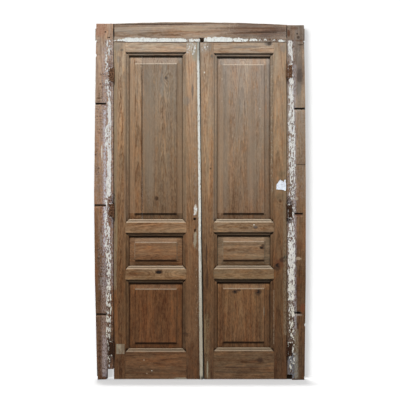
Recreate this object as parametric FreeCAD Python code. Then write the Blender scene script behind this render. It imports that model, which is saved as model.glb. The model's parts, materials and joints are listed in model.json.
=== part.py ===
import FreeCAD, Part
import math
import os

os.makedirs("parts", exist_ok=True)
V = FreeCAD.Vector

# A pair of panelled double doors hung in their own wooden frame.
# Millimetres, +Z up, +X to the right and +Y into the wall, so the front of the doors faces -Y.
# The origin is on the floor line, in the middle of the frame's width and depth.

# ---------------------------------------------------------------- frame
FRAME_WIDTH = 1400.0
FRAME_DEPTH = 76.0
FRONT = -FRAME_DEPTH / 2
BACK = FRAME_DEPTH / 2
LEFT_JAMB_FACE = 123.0
RIGHT_JAMB_FACE = 119.0
LEFT_JAMB_TOP = 2376.0
RIGHT_JAMB_TOP = 2366.0
HEAD_UNDERSIDE = 2254.0
HEAD_CROWN = 2388.0  # the head's top edge is waney and rises between its ends
STOP_LAP = 12.0  # how far the stop stands behind the leaves' edges
STOP_FRONT = 3.5
HEAD_SOCKET = {"x0": 6.0, "x1": 25.0, "depth": 22.0, "height": 27.0}  # broken out round a bolt
HEAD_TENON = {"y0": -12.0, "y1": 13.0, "z0": 2268.0, "z1": 2346.0}
FRAME_PEG_RADIUS = 5.0
FRAME_PEG_SINK = 6.0
LEFT_FRAME_PEGS = [(-630.0, 2321.0), (-604.0, 2283.0)]
RIGHT_FRAME_PEGS = [(647.0, 2308.0)]

# Cut-outs for the lugs that once tied the frame into the wall: (top, inner end, outer end)
NOTCH_DEPTH = 12.0
NOTCH_SAW_WALL = 2.0
NOTCH_DROP = 27.0
LEFT_WALL_NOTCHES = [(1848.0, -627.0, -701.0), (1171.0, -627.0, -701.0), (444.0, -620.0, -701.0)]
RIGHT_WALL_NOTCHES = [(1815.0, 620.0, 701.0), (1114.0, 626.0, 681.0), (454.0, 630.0, 668.0)]
RIGHT_SAW_CUT = {"z": 1434.0, "inner": 625.0, "height": 3.0, "depth": 7.0}
LEFT_FOOT_NOTCH = {"outer": 620.0, "height": 73.0}
RIGHT_FOOT_NOTCH = {"outer": 614.0, "height": 36.0, "depth": 34.0}

# ---------------------------------------------------------------- leaves
EDGE_GAP = 3.0  # between a leaf's hinge edge and its jamb
MEETING_GAP = 1.0  # between the left leaf's bead and the right leaf's lip
LEAF_THICKNESS = 40.0
LEAF_BOTTOM = 5.0
LEAF_TOP = HEAD_UNDERSIDE - EDGE_GAP
LEAF_BACK = FRONT + LEAF_THICKNESS
LEFT_EDGE = -(FRAME_WIDTH / 2 - LEFT_JAMB_FACE - EDGE_GAP)
RIGHT_EDGE = FRAME_WIDTH / 2 - RIGHT_JAMB_FACE - EDGE_GAP
LEFT_WIDTH = 584.0  # to the meeting stile's edge; the bead stands past it
BEAD_OVERHANG = 2.0
LIP = {"out": 1.5, "front": 6.0, "back": 10.5, "quirk": 5.0}  # on the right leaf's meeting edge
RIGHT_WIDTH = RIGHT_EDGE - LEFT_EDGE - LEFT_WIDTH - BEAD_OVERHANG - MEETING_GAP - LIP["out"]

LEFT_LEAF = {
    "name": "left",
    "edge": LEFT_EDGE,
    "mirrored": False,
    "width": LEFT_WIDTH,
    "hinge_stile": 76.0,
    "meeting_stile": 101.0,
    "rails": {
        "top_rail": (2188.0, LEAF_TOP),
        "lock_rail": (982.0, 1047.0),
        "frieze_rail": (670.0, 736.0),
        "bottom_rail": (LEAF_BOTTOM, 185.0),
    },
    "hinges": [2034.0, 1130.0, 210.0],
    "lock_stub": 29.0,
}
RIGHT_LEAF = {
    "name": "right",
    "edge": RIGHT_EDGE,
    "mirrored": True,
    "width": RIGHT_WIDTH,
    "hinge_stile": 85.0,
    "meeting_stile": 75.5,
    "rails": {
        "top_rail": (2181.0, LEAF_TOP),
        "lock_rail": (987.0, 1048.0),
        "frieze_rail": (674.0, 737.0),
        "bottom_rail": (LEAF_BOTTOM, 190.0),
    },
    "hinges": [2058.0, 1124.0, 204.0],
    "lock_stub": 45.0,
}

# The moulding worked on the inner edges, as depths below the leaf's face
MOULDING_WIDTH = 25.0
MOULDING_QUIRK = 1.5
OVOLO_WIDTH = 8.0
BAND_DEPTH = 7.0
NOSE_RADIUS = 7.0
GROOVE_FRONT = 17.5
GROOVE_BACK = 30.0
GROOVE_DEPTH = 12.0

# Raised and fielded panels
PANEL_IN_GROOVE = 11.0
PANEL_EDGE_FRONT = 20.0
BEVEL_WIDTH = 40.0
TALL_PANEL_TOP_BEVEL = 54.0
BEVEL_TOP_DEPTH = 10.5
FIELD_DEPTH = 5.5
BOARD_JOINT = 187.0  # from the left leaf's hinge edge
BOARD_JOINT_GAP = 1.6
BOARD_JOINT_OPEN = 7.0

# Mortise and tenon joints
TENON_FRONT = FRONT + 14.0
TENON_BACK = FRONT + 26.0
TENON_SHOULDER = 6.0
HAUNCH = 30.0
BOTTOM_HAUNCH = 44.0
WEDGE_THICKNESS = 4.5
WEDGE_LENGTH = 34.0
PEG_RADIUS = 4.5
PEG_PROUD = 0.5
CLEARANCE = 0.05

# The bead planted in a rebate along the left leaf's meeting edge
BEAD_WIDTH = 26.0
BEAD_REBATE = 10.0
BEAD_PROUD = 5.5
BEAD_QUIRK = 3.5
BEAD_NAIL_RADIUS = 1.3
BEAD_NAIL_HEAD = 2.6
BEAD_NAIL_LENGTH = 18.0
BEAD_NAIL_HEIGHTS = [90.0, 360.0, 630.0, 900.0, 1190.0, 1450.0, 1720.0, 1990.0, 2200.0]

REPAIR_BLOCK = {"u0": 14.0, "u1": 71.0, "z0": 173.0, "z1": 240.0, "depth": 8.0}
PAPER_LABEL = {"u0": 2.0, "u1": 69.0, "z0": 1264.0, "z1": 1337.0, "thickness": 0.3}

# ---------------------------------------------------------------- hinges
PIN_OUT = 7.0  # the pin stands this far in front of the leaf's face
PIN_U = -EDGE_GAP / 2
PIN_Y = FRONT - PIN_OUT
PIN_RADIUS = 3.0
PIN_HEAD_RADIUS = 4.8
PIN_HEAD = 4.0
KNUCKLE_RADIUS = 6.0
HINGE_HEIGHT = 90.0
MIDDLE_KNUCKLE = 30.0
KNUCKLE_GAP = 0.2
FRAME_PLATE = {"width": 35.0, "front": FRONT - 1.8, "back": FRONT + 1.2}
LEAF_PLATE_THICKNESS = 2.5
LEAF_PLATE_DEPTH = 30.0
LEAF_TAB_FRONT = FRONT - 4.0
SCREW_SHANK = 2.2
SCREW_HEAD = 4.6
SCREW_HEAD_HEIGHT = 2.4
SCREW_LENGTH = 26.0
SLOT_WIDTH = 1.0
SLOT_DEPTH = 0.9
SCREW_SPREAD = 32.0

# ---------------------------------------------------------------- mortise lock in the left leaf
SPINDLE = {"u": 539.0, "z": 1074.0}
SPINDLE_HOLE = 8.0
KEY_Z = 999.0
KEYHOLE_RADIUS = 4.5
KEYHOLE_SLOT = {"width": 4.5, "drop": 13.0}
CASE = {"u0": 520.0, "y0": -24.0, "y1": -12.0, "z0": 952.0, "z1": 1121.0, "wall": 1.5}
FACEPLATE = {"thickness": 2.5, "y0": -27.0, "y1": -9.0, "z0": 936.0, "z1": 1137.0}
FOLLOWER = {"disc": 9.5, "hub": 6.95, "square": 8.0, "arm": 14.0, "arm_width": 5.0}
FOLLOWER_REST_ANGLE = 40.0
BOLT_Y = (-22.0, -14.0)
LATCH = {"length": 16.0, "z0": 1065.0, "z1": 1083.0}
LATCH_TAIL = {"u0": 523.3, "u1": 571.0, "z0": 1052.0, "z1": 1058.0, "lug": 3.0, "lug_top": 1064.0}
DEAD_BOLT = {"length": 20.0, "z0": 1008.0, "z1": 1026.0, "tail": 530.0}
SLIDE_CLEARANCE = 0.25
KEEPER = {"thickness": 2.0, "y0": -27.0, "y1": -9.0, "z0": 990.0, "z1": 1100.0}
KEEPER_POCKET = 14.0
KEEPER_HOLE_MARGIN = 1.5


# ---------------------------------------------------------------- shape helpers
def block(x0, x1, y0, y1, z0, z1):
    return Part.makeBox(x1 - x0, y1 - y0, z1 - z0, V(x0, y0, z0))


def rod(radius, start, end):
    along = end - start
    return Part.makeCylinder(radius, along.Length, start, along)


def prism(points, along):
    wire = Part.makePolygon(points + [points[0]])
    return Part.Face(wire).extrude(along)


def united(shapes):
    whole = shapes[0].fuse(shapes[1:]) if len(shapes) > 1 else shapes[0]
    whole = whole.removeSplitter()
    return whole.Solids[0] if len(whole.Solids) == 1 else whole


def less(shape, cutters):
    rest = shape.cut(cutters)
    return rest.Solids[0] if len(rest.Solids) == 1 else rest


def in_room(leaf, shape):
    """Moves a shape from a leaf's own coordinates, with u counted from its hinge edge, to the room."""
    if leaf["mirrored"]:
        shape = shape.mirror(V(0, 0, 0), V(1, 0, 0))
    moved = shape.copy()
    moved.translate(V(leaf["edge"], 0, 0))
    return moved


def save(name, shape):
    solids = shape.Solids
    if not solids or not all(s.isValid() for s in solids):
        raise ValueError(name + " is not made of valid solids")
    whole = solids[0] if len(solids) == 1 else Part.makeCompound(solids)
    whole.exportStep("parts/" + name + ".step")


# ---------------------------------------------------------------- screws, nails and pegs
def wood_screw(head, into, grow=0.0, slotted=True):
    """A countersunk screw with its head's flat top at head, pointing along into."""
    cone = Part.makeCone(SCREW_HEAD + grow, SCREW_SHANK + grow, SCREW_HEAD_HEIGHT, head, into)
    shank = rod(SCREW_SHANK + grow, head + into * SCREW_HEAD_HEIGHT / 2, head + into * SCREW_LENGTH)
    screw = united([cone, shank])
    if not slotted:
        return screw
    slot = block(-SLOT_WIDTH / 2, SLOT_WIDTH / 2, -SLOT_DEPTH, SLOT_DEPTH, -SCREW_HEAD, SCREW_HEAD)
    if abs(into.x) > 0.5:
        slot = block(-SLOT_DEPTH, SLOT_DEPTH, -SLOT_WIDTH / 2, SLOT_WIDTH / 2, -SCREW_HEAD, SCREW_HEAD)
    slot.translate(head)
    return less(screw, [slot])


def screw_holes(places):
    return [wood_screw(head, into, CLEARANCE, False) for head, into in places]


# ---------------------------------------------------------------- leaf joinery
def openings(leaf):
    """The three panel openings, each as (u0, u1, z0, z1) at the moulding's outer edge."""
    u0 = leaf["hinge_stile"]
    u1 = leaf["width"] - leaf["meeting_stile"]
    rails = leaf["rails"]
    return {
        "upper": (u0, u1, rails["lock_rail"][1], rails["top_rail"][0]),
        "middle": (u0, u1, rails["frieze_rail"][1], rails["lock_rail"][0]),
        "lower": (u0, u1, rails["bottom_rail"][1], rails["frieze_rail"][0]),
    }


def moulding_section(place):
    """The moulding's cross-section face. place(w, depth) gives a point w in from the outer edge."""
    inner = MOULDING_WIDTH
    nose = inner - NOSE_RADIUS
    bend = NOSE_RADIUS * math.sin(math.radians(45))
    ovolo_top = place(0, MOULDING_QUIRK)
    ovolo_middle = place(OVOLO_WIDTH * 0.68, MOULDING_QUIRK + (BAND_DEPTH - MOULDING_QUIRK) * 0.29)
    ovolo_foot = place(OVOLO_WIDTH, BAND_DEPTH)
    nose_start = place(nose, BAND_DEPTH)
    nose_middle = place(nose + bend, BAND_DEPTH + NOSE_RADIUS - bend)
    nose_end = place(inner, BAND_DEPTH + NOSE_RADIUS)
    groove_floor = inner - GROOVE_DEPTH
    rest = [
        nose_end,
        place(inner, GROOVE_FRONT),
        place(groove_floor, GROOVE_FRONT),
        place(groove_floor, GROOVE_BACK),
        place(inner, GROOVE_BACK),
        place(inner, LEAF_THICKNESS),
        place(0, LEAF_THICKNESS),
        ovolo_top,
    ]
    edges = [
        Part.Arc(ovolo_top, ovolo_middle, ovolo_foot).toShape(),
        Part.makeLine(ovolo_foot, nose_start),
        Part.Arc(nose_start, nose_middle, nose_end).toShape(),
    ]
    edges += [Part.makeLine(a, b) for a, b in zip(rest, rest[1:])]
    return Part.Face(Part.Wire(edges))


def moulding(opening, side):
    """One side of the moulding round an opening, with mitred ends."""
    u0, u1, z0, z1 = opening
    w = MOULDING_WIDTH
    upright = side in ("hinge", "meeting")
    along = V(0, 0, z1 - z0) if upright else V(u1 - u0, 0, 0)
    places = {
        "hinge": lambda d, y: V(u0 + d, FRONT + y, z0),
        "meeting": lambda d, y: V(u1 - d, FRONT + y, z0),
        "bottom": lambda d, y: V(u0, FRONT + y, z0 + d),
        "top": lambda d, y: V(u0, FRONT + y, z1 - d),
    }
    outlines = {
        "hinge": [(u0, z0), (u0 + w, z0 + w), (u0 + w, z1 - w), (u0, z1)],
        "meeting": [(u1, z0), (u1 - w, z0 + w), (u1 - w, z1 - w), (u1, z1)],
        "bottom": [(u0, z0), (u0 + w, z0 + w), (u1 - w, z0 + w), (u1, z0)],
        "top": [(u0, z1), (u0 + w, z1 - w), (u1 - w, z1 - w), (u1, z1)],
    }
    bar = moulding_section(places[side]).extrude(along)
    mitre = prism([V(u, FRONT - 1, z) for u, z in outlines[side]], V(0, LEAF_THICKNESS + 2, 0))
    return bar.common(mitre).Solids[0]


def tenon_height(name, z0, z1):
    if name == "top_rail":
        return z0 + TENON_SHOULDER, z1 - HAUNCH
    if name == "bottom_rail":
        return z0 + HAUNCH, z1 - BOTTOM_HAUNCH
    return z0 + TENON_SHOULDER, z1 - TENON_SHOULDER


def tenons(leaf):
    """Each rail's two tenons: (rail, at the hinge stile, u of the shoulder, u of the end, z0, z1)."""
    found = []
    for name, (z0, z1) in leaf["rails"].items():
        low, high = tenon_height(name, z0, z1)
        hinge = leaf["hinge_stile"]
        meeting = leaf["width"] - leaf["meeting_stile"]
        meeting_end = meeting + leaf["lock_stub"] if name == "lock_rail" else leaf["width"]
        found.append((name, True, hinge, 0.0, low, high))
        found.append((name, False, meeting, meeting_end, low, high))
    return found


def tenon_block(shoulder, end, low, high):
    return block(min(shoulder, end), max(shoulder, end), TENON_FRONT, TENON_BACK, low, high)


def wedges(shoulder, end, low, high):
    """The two wedges that spread a through tenon in its mortise, one above and one below."""
    inward = WEDGE_LENGTH if shoulder > end else -WEDGE_LENGTH
    pair = []
    for z, out in ((high, WEDGE_THICKNESS), (low, -WEDGE_THICKNESS)):
        corners = [V(end, TENON_FRONT, z), V(end, TENON_FRONT, z + out), V(end + inward, TENON_FRONT, z)]
        pair.append(prism(corners, V(0, TENON_BACK - TENON_FRONT, 0)))
    return pair


def is_through(leaf, tenon):
    return tenon[3] in (0.0, leaf["width"])


def peg_places(leaf):
    """Where the pegs cross the tenons, as (rail, at the hinge stile, u, z)."""
    places = []
    for name, at_hinge, shoulder, end, low, high in tenons(leaf):
        u = shoulder + (end - shoulder) * (0.4 if name != "lock_rail" or at_hinge else 0.5)
        heights = [(low + high) / 2]
        if name == "bottom_rail":
            heights = [low + (high - low) * 0.27, low + (high - low) * 0.73]
        places += [(name, at_hinge, u, z) for z in heights]
    return places


def peg(u, z, front, back, radius=PEG_RADIUS):
    return rod(radius, V(u, front, z), V(u, back, z))


def peg_holes(leaf, wanted):
    return [
        peg(u, z, FRONT - 1, LEAF_BACK + 1, PEG_RADIUS + CLEARANCE)
        for name, at_hinge, u, z in peg_places(leaf)
        if wanted(name, at_hinge)
    ]


def stile(leaf, at_hinge):
    u0, u1 = (0.0, leaf["hinge_stile"])
    if not at_hinge:
        u0, u1 = (leaf["width"] - leaf["meeting_stile"], leaf["width"])
    side = "hinge" if at_hinge else "meeting"
    body = block(u0, u1, FRONT, LEAF_BACK, LEAF_BOTTOM, LEAF_TOP)
    whole = united([body] + [moulding(opening, side) for opening in openings(leaf).values()])
    cutters = peg_holes(leaf, lambda name, hinge: hinge == at_hinge)
    for tenon in tenons(leaf):
        name, hinge, shoulder, end, low, high = tenon
        if hinge == at_hinge:
            cutters.append(tenon_block(shoulder, end, low, high))
            if is_through(leaf, tenon):
                cutters += wedges(shoulder, end, low, high)
    return less(whole, cutters)


def rail(leaf, name):
    u0 = leaf["hinge_stile"]
    u1 = leaf["width"] - leaf["meeting_stile"]
    z0, z1 = leaf["rails"][name]
    spaces = openings(leaf)
    pieces = [block(u0, u1, FRONT, LEAF_BACK, z0, z1)]
    for opening in spaces.values():
        if opening[2] == z1:
            pieces.append(moulding(opening, "bottom"))
        if opening[3] == z0:
            pieces.append(moulding(opening, "top"))
    pieces += [tenon_block(*t[2:]) for t in tenons(leaf) if t[0] == name]
    return less(united(pieces), peg_holes(leaf, lambda rail_name, hinge: rail_name == name))


def rectangle(opening, insets, depth):
    left, right, bottom, top = insets
    u0, u1, z0, z1 = (opening[0] + left, opening[1] - right, opening[2] + bottom, opening[3] - top)
    y = FRONT + depth
    corners = [V(u0, y, z0), V(u1, y, z0), V(u1, y, z1), V(u0, y, z1)]
    return Part.makePolygon(corners + [corners[0]])


def panel(opening, top_bevel=BEVEL_WIDTH):
    """A raised and fielded panel, with its edges in the grooves."""
    edge = [MOULDING_WIDTH - PANEL_IN_GROOVE] * 4
    field = [MOULDING_WIDTH + BEVEL_WIDTH] * 3 + [MOULDING_WIDTH + top_bevel]
    bevel = Part.makeLoft(
        [rectangle(opening, edge, PANEL_EDGE_FRONT), rectangle(opening, field, BEVEL_TOP_DEPTH)],
        True,
        True,
    )
    back = Part.Face(rectangle(opening, edge, PANEL_EDGE_FRONT))
    raised = Part.Face(rectangle(opening, field, FIELD_DEPTH))
    slab = back.extrude(V(0, GROOVE_BACK - PANEL_EDGE_FRONT, 0))
    step = raised.extrude(V(0, BEVEL_TOP_DEPTH - FIELD_DEPTH, 0))
    return united([slab, bevel, step])


def split_panel(whole, opening):
    """The tall panel as two boards, with their joint open along the front."""
    low, high = opening[2], opening[3]
    behind = LEAF_BACK
    narrow = whole.common(block(0, BOARD_JOINT, FRONT, behind, low, high))
    wide = whole.common(block(BOARD_JOINT, opening[1], FRONT, behind, low, high))
    open_part = block(
        BOARD_JOINT,
        BOARD_JOINT + BOARD_JOINT_GAP,
        FRONT,
        FRONT + FIELD_DEPTH + BOARD_JOINT_OPEN,
        low,
        high,
    )
    return narrow.Solids[0], less(wide.Solids[0], [open_part])


# ---------------------------------------------------------------- hinges
def knuckle(z0, z1):
    ring = rod(KNUCKLE_RADIUS, V(PIN_U, PIN_Y, z0), V(PIN_U, PIN_Y, z1))
    bore = rod(PIN_RADIUS + CLEARANCE, V(PIN_U, PIN_Y, z0 - 1), V(PIN_U, PIN_Y, z1 + 1))
    return ring, bore


def frame_screw_places(z):
    u = PIN_U - FRAME_PLATE["width"] * 0.56
    heads = [V(u, FRAME_PLATE["front"], z + dz) for dz in (-SCREW_SPREAD, 0.0, SCREW_SPREAD)]
    return [(head, V(0, 1, 0)) for head in heads]


def leaf_screw_places(z):
    y = FRONT + LEAF_PLATE_DEPTH * 0.52
    return [(V(0, y, z + dz), V(1, 0, 0)) for dz in (-SCREW_SPREAD, 0.0, SCREW_SPREAD)]


def frame_plate_block(z):
    width = FRAME_PLATE["width"]
    half = HINGE_HEIGHT / 2
    return block(PIN_U - width, PIN_U, FRAME_PLATE["front"], FRAME_PLATE["back"], z - half, z + half)


def leaf_plate_block(z):
    half = HINGE_HEIGHT / 2
    return block(0, LEAF_PLATE_THICKNESS, FRONT, FRONT + LEAF_PLATE_DEPTH, z - half, z + half)


def frame_hinge_plate(z):
    """The half of a hinge that is let into the jamb's face, with its two outer knuckles."""
    half = HINGE_HEIGHT / 2
    middle = MIDDLE_KNUCKLE / 2 + KNUCKLE_GAP
    upper, upper_bore = knuckle(z + middle, z + half)
    lower, lower_bore = knuckle(z - half, z - middle)
    relief = rod(KNUCKLE_RADIUS + 0.5, V(PIN_U, PIN_Y, z - middle), V(PIN_U, PIN_Y, z + middle))
    plate = united([frame_plate_block(z), upper, lower])
    return less(plate, [upper_bore, lower_bore, relief] + screw_holes(frame_screw_places(z)))


def leaf_hinge_plate(z):
    """The half of a hinge that is let into the leaf's edge, with the middle knuckle."""
    half = MIDDLE_KNUCKLE / 2
    ring, bore = knuckle(z - half, z + half)
    tab = block(0, LEAF_PLATE_THICKNESS, LEAF_TAB_FRONT, FRONT, z - half, z + half)
    plate = united([leaf_plate_block(z), tab, ring])
    return less(plate, [bore] + screw_holes(leaf_screw_places(z)))


def hinge_pin(z):
    half = HINGE_HEIGHT / 2
    middle = rod(PIN_RADIUS, V(PIN_U, PIN_Y, z - half), V(PIN_U, PIN_Y, z + half))
    top = rod(PIN_HEAD_RADIUS, V(PIN_U, PIN_Y, z + half), V(PIN_U, PIN_Y, z + half + PIN_HEAD))
    foot = rod(PIN_HEAD_RADIUS, V(PIN_U, PIN_Y, z - half - PIN_HEAD), V(PIN_U, PIN_Y, z - half))
    return united([middle, top, foot])


# ---------------------------------------------------------------- frame
def wall_notch(top, inner, outer):
    """A saw cut across the jamb's face, with the wood below it pared away to the surface."""
    y = FRONT - 1
    floor = top - NOTCH_SAW_WALL
    corners = [(y, top), (FRONT + NOTCH_DEPTH, floor), (y, top - NOTCH_DROP)]
    x0, x1 = min(inner, outer), max(inner, outer)
    return prism([V(x0, cy, cz) for cy, cz in corners], V(x1 - x0, 0, 0))


def head_tenon(side):
    outer = side * FRAME_WIDTH / 2
    inner = side * (FRAME_WIDTH / 2 - LEFT_JAMB_FACE - STOP_LAP)
    t = HEAD_TENON
    return block(min(outer, inner), max(outer, inner), t["y0"], t["y1"], t["z0"], t["z1"])


def frame_pegs():
    back = BACK - FRAME_PEG_SINK
    places = LEFT_FRAME_PEGS + RIGHT_FRAME_PEGS
    return [peg(x, z, FRONT + FRAME_PEG_SINK, back, FRAME_PEG_RADIUS) for x, z in places]


def frame_peg_holes(places):
    radius = FRAME_PEG_RADIUS + CLEARANCE
    return [peg(x, z, FRONT - 1, BACK + 1, radius) for x, z in places]


def jamb(side, face, top, pegs):
    outer = side * FRAME_WIDTH / 2
    inner = side * (FRAME_WIDTH / 2 - face)
    stop = inner - side * STOP_LAP
    post = block(min(outer, inner), max(outer, inner), FRONT, BACK, 0, top)
    lip = block(min(inner, stop), max(inner, stop), STOP_FRONT, BACK, 0, top)
    return less(united([post, lip]), [head_tenon(side)] + frame_peg_holes(pegs))


def left_jamb():
    cutters = [wall_notch(*notch) for notch in LEFT_WALL_NOTCHES]
    inner = LEFT_EDGE + STOP_LAP + 1
    foot = LEFT_FOOT_NOTCH
    cutters.append(block(-foot["outer"], inner, FRONT - 1, BACK + 1, -1, foot["height"]))
    cutters += hinge_recesses(LEFT_LEAF)
    return less(jamb(-1, LEFT_JAMB_FACE, LEFT_JAMB_TOP, LEFT_FRAME_PEGS), cutters)


def right_jamb():
    cutters = [wall_notch(*notch) for notch in RIGHT_WALL_NOTCHES]
    cut = RIGHT_SAW_CUT
    y1 = FRONT + cut["depth"]
    cutters.append(block(cut["inner"], 701, FRONT - 1, y1, cut["z"], cut["z"] + cut["height"]))
    inner = RIGHT_EDGE - STOP_LAP - 1
    foot = RIGHT_FOOT_NOTCH
    cutters.append(block(inner, foot["outer"], FRONT - 1, FRONT + foot["depth"], -1, foot["height"]))
    cutters += hinge_recesses(RIGHT_LEAF)
    return less(jamb(1, RIGHT_JAMB_FACE, RIGHT_JAMB_TOP, RIGHT_FRAME_PEGS), cutters)


def hinge_recesses(leaf):
    cutters = []
    for z in leaf["hinges"]:
        shapes = [frame_plate_block(z)] + screw_holes(frame_screw_places(z))
        cutters += [in_room(leaf, shape) for shape in shapes]
    return cutters


def head():
    """The head, tenoned into both jambs, with a waney top edge and the same stop as the jambs."""
    x0 = -(FRAME_WIDTH / 2 - LEFT_JAMB_FACE)
    x1 = FRAME_WIDTH / 2 - RIGHT_JAMB_FACE
    ends = (LEFT_JAMB_TOP + 2, RIGHT_JAMB_TOP + 4)
    crown = Part.Arc(V(x0, FRONT, ends[0]), V(-60, FRONT, HEAD_CROWN), V(x1, FRONT, ends[1]))
    outline = [
        crown.toShape(),
        Part.makeLine(V(x1, FRONT, ends[1]), V(x1, FRONT, HEAD_UNDERSIDE)),
        Part.makeLine(V(x1, FRONT, HEAD_UNDERSIDE), V(x0, FRONT, HEAD_UNDERSIDE)),
        Part.makeLine(V(x0, FRONT, HEAD_UNDERSIDE), V(x0, FRONT, ends[0])),
    ]
    beam = Part.Face(Part.Wire(outline)).extrude(V(0, FRAME_DEPTH, 0))
    lip = block(x0, x1, STOP_FRONT, BACK, HEAD_UNDERSIDE - STOP_LAP, HEAD_UNDERSIDE)
    ends_cut = [
        block(x0 - 1, x0 + STOP_LAP, STOP_FRONT, BACK + 1, 2000, HEAD_CROWN + 1),
        block(x1 - STOP_LAP, x1 + 1, STOP_FRONT, BACK + 1, 2000, HEAD_CROWN + 1),
    ]
    shouldered = less(united([beam, lip]), ends_cut)
    whole = united([shouldered, head_tenon(-1), head_tenon(1)])
    s = HEAD_SOCKET
    top = HEAD_UNDERSIDE + s["height"]
    socket = block(s["x0"], s["x1"], FRONT - 1, FRONT + s["depth"], HEAD_UNDERSIDE - 1, top)
    return less(whole, [socket] + frame_peg_holes(LEFT_FRAME_PEGS + RIGHT_FRAME_PEGS))


# ---------------------------------------------------------------- the left leaf's bead
def meeting_bead():
    u1 = LEFT_WIDTH + BEAD_OVERHANG
    u0 = u1 - BEAD_WIDTH
    y = FRONT + BEAD_REBATE
    side_y = FRONT + 1.0
    start = V(u0 + BEAD_QUIRK, side_y, LEAF_BOTTOM)
    middle = V((u0 + BEAD_QUIRK + u1) / 2, FRONT - BEAD_PROUD, LEAF_BOTTOM)
    end = V(u1, side_y, LEAF_BOTTOM)
    quirk_floor = FRONT + 3.0
    corners = [
        end,
        V(u1, y, LEAF_BOTTOM),
        V(u0, y, LEAF_BOTTOM),
        V(u0, quirk_floor, LEAF_BOTTOM),
        V(u0 + BEAD_QUIRK, quirk_floor, LEAF_BOTTOM),
        start,
    ]
    edges = [Part.Arc(start, middle, end).toShape()]
    edges += [Part.makeLine(a, b) for a, b in zip(corners, corners[1:])]
    bar = Part.Face(Part.Wire(edges)).extrude(V(0, 0, LEAF_TOP - LEAF_BOTTOM))
    return less(bar, bead_nail_holes())


def bead_nail(z, grow=0.0):
    u = LEFT_WIDTH + BEAD_OVERHANG - BEAD_WIDTH / 2 + BEAD_QUIRK / 2
    top = FRONT - BEAD_PROUD
    shank = rod(BEAD_NAIL_RADIUS + grow, V(u, top, z), V(u, top + BEAD_NAIL_LENGTH, z))
    cap = rod(BEAD_NAIL_HEAD + grow, V(u, top + 1, z), V(u, top + 2.2, z))
    if grow:
        cap = rod(BEAD_NAIL_HEAD + grow, V(u, top - 1, z), V(u, top + 2.2, z))
        return united([shank, cap])
    return united([rod(BEAD_NAIL_RADIUS, V(u, top + 1, z), V(u, top + BEAD_NAIL_LENGTH, z)), cap])


def bead_nail_holes():
    return [bead_nail(z, CLEARANCE) for z in BEAD_NAIL_HEIGHTS]


# ---------------------------------------------------------------- the lock
def edge_holes(y0, y1, margin, plate_u0, plate_u1):
    """The latch's and the bolt's holes through a plate in a meeting edge."""
    holes = []
    for piece in (LATCH, DEAD_BOLT):
        z0, z1 = piece["z0"] - margin, piece["z1"] + margin
        holes.append(block(plate_u0, plate_u1, y0 - margin, y1 + margin, z0, z1))
    return holes


def keyhole(y0, y1):
    u = SPINDLE["u"]
    half = KEYHOLE_SLOT["width"] / 2
    return united([
        rod(KEYHOLE_RADIUS, V(u, y0, KEY_Z), V(u, y1, KEY_Z)),
        block(u - half, u + half, y0, y1, KEY_Z - KEYHOLE_SLOT["drop"], KEY_Z),
    ])


def spindle_rod(radius, y0, y1):
    return rod(radius, V(SPINDLE["u"], y0, SPINDLE["z"]), V(SPINDLE["u"], y1, SPINDLE["z"]))


def case_end():
    return LEFT_WIDTH - FACEPLATE["thickness"]


def lock_case():
    c = CASE
    wall = c["wall"]
    cap_back = c["y0"] + wall
    shell = block(c["u0"], case_end(), cap_back, c["y1"], c["z0"], c["z1"])
    room = block(c["u0"] + wall, case_end(), cap_back, c["y1"] - wall, c["z0"] + wall, c["z1"] - wall)
    holes = [room, spindle_rod(FOLLOWER["hub"] + CLEARANCE, -30, 0), keyhole(-30, 0)]
    return less(shell, holes)


def lock_cap():
    c = CASE
    sheet = block(c["u0"], case_end(), c["y0"], c["y0"] + c["wall"], c["z0"], c["z1"])
    return less(sheet, [spindle_rod(FOLLOWER["hub"] + CLEARANCE, -30, 0), keyhole(-30, 0)])


def faceplate_screw_places():
    y = (FACEPLATE["y0"] + FACEPLATE["y1"]) / 2
    heights = (FACEPLATE["z0"] + 8, FACEPLATE["z1"] - 8)
    return [(V(LEFT_WIDTH, y, z), V(-1, 0, 0)) for z in heights]


def lock_faceplate():
    f = FACEPLATE
    sheet = block(case_end(), LEFT_WIDTH, f["y0"], f["y1"], f["z0"], f["z1"])
    cutters = edge_holes(*BOLT_Y, SLIDE_CLEARANCE, case_end() - 1, LEFT_WIDTH + 1)
    return less(sheet, cutters + screw_holes(faceplate_screw_places()))


def follower():
    """The hub that a handle's square spindle turns, with the arm that draws the latch back."""
    f = FOLLOWER
    c = CASE
    inside = c["wall"] + 0.2
    disc = spindle_rod(f["disc"], c["y0"] + inside, c["y1"] - inside)
    hub = spindle_rod(f["hub"], c["y0"], c["y1"])
    u, z = SPINDLE["u"], SPINDLE["z"]
    half = f["arm_width"] / 2
    arm = block(u - half, u + half, BOLT_Y[0] + 1, BOLT_Y[1] - 1, z - f["arm"], z)
    arm.rotate(V(u, 0, z), V(0, 1, 0), FOLLOWER_REST_ANGLE)
    side = f["square"] / 2
    square = block(u - side, u + side, c["y0"] - 1, c["y1"] + 1, z - side, z + side)
    return less(united([disc, hub, arm]), [square])


def latch_bolt():
    tail = LATCH_TAIL
    nose = block(LEFT_WIDTH - LATCH["length"], LEFT_WIDTH, *BOLT_Y, LATCH["z0"], LATCH["z1"])
    bar = block(tail["u0"], tail["u1"], *BOLT_Y, tail["z0"], tail["z1"])
    web = block(LEFT_WIDTH - LATCH["length"], tail["u1"], *BOLT_Y, tail["z0"], LATCH["z0"])
    lug = block(tail["u0"], tail["u0"] + tail["lug"], *BOLT_Y, tail["z1"], tail["lug_top"])
    return united([nose, bar, web, lug])


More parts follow.
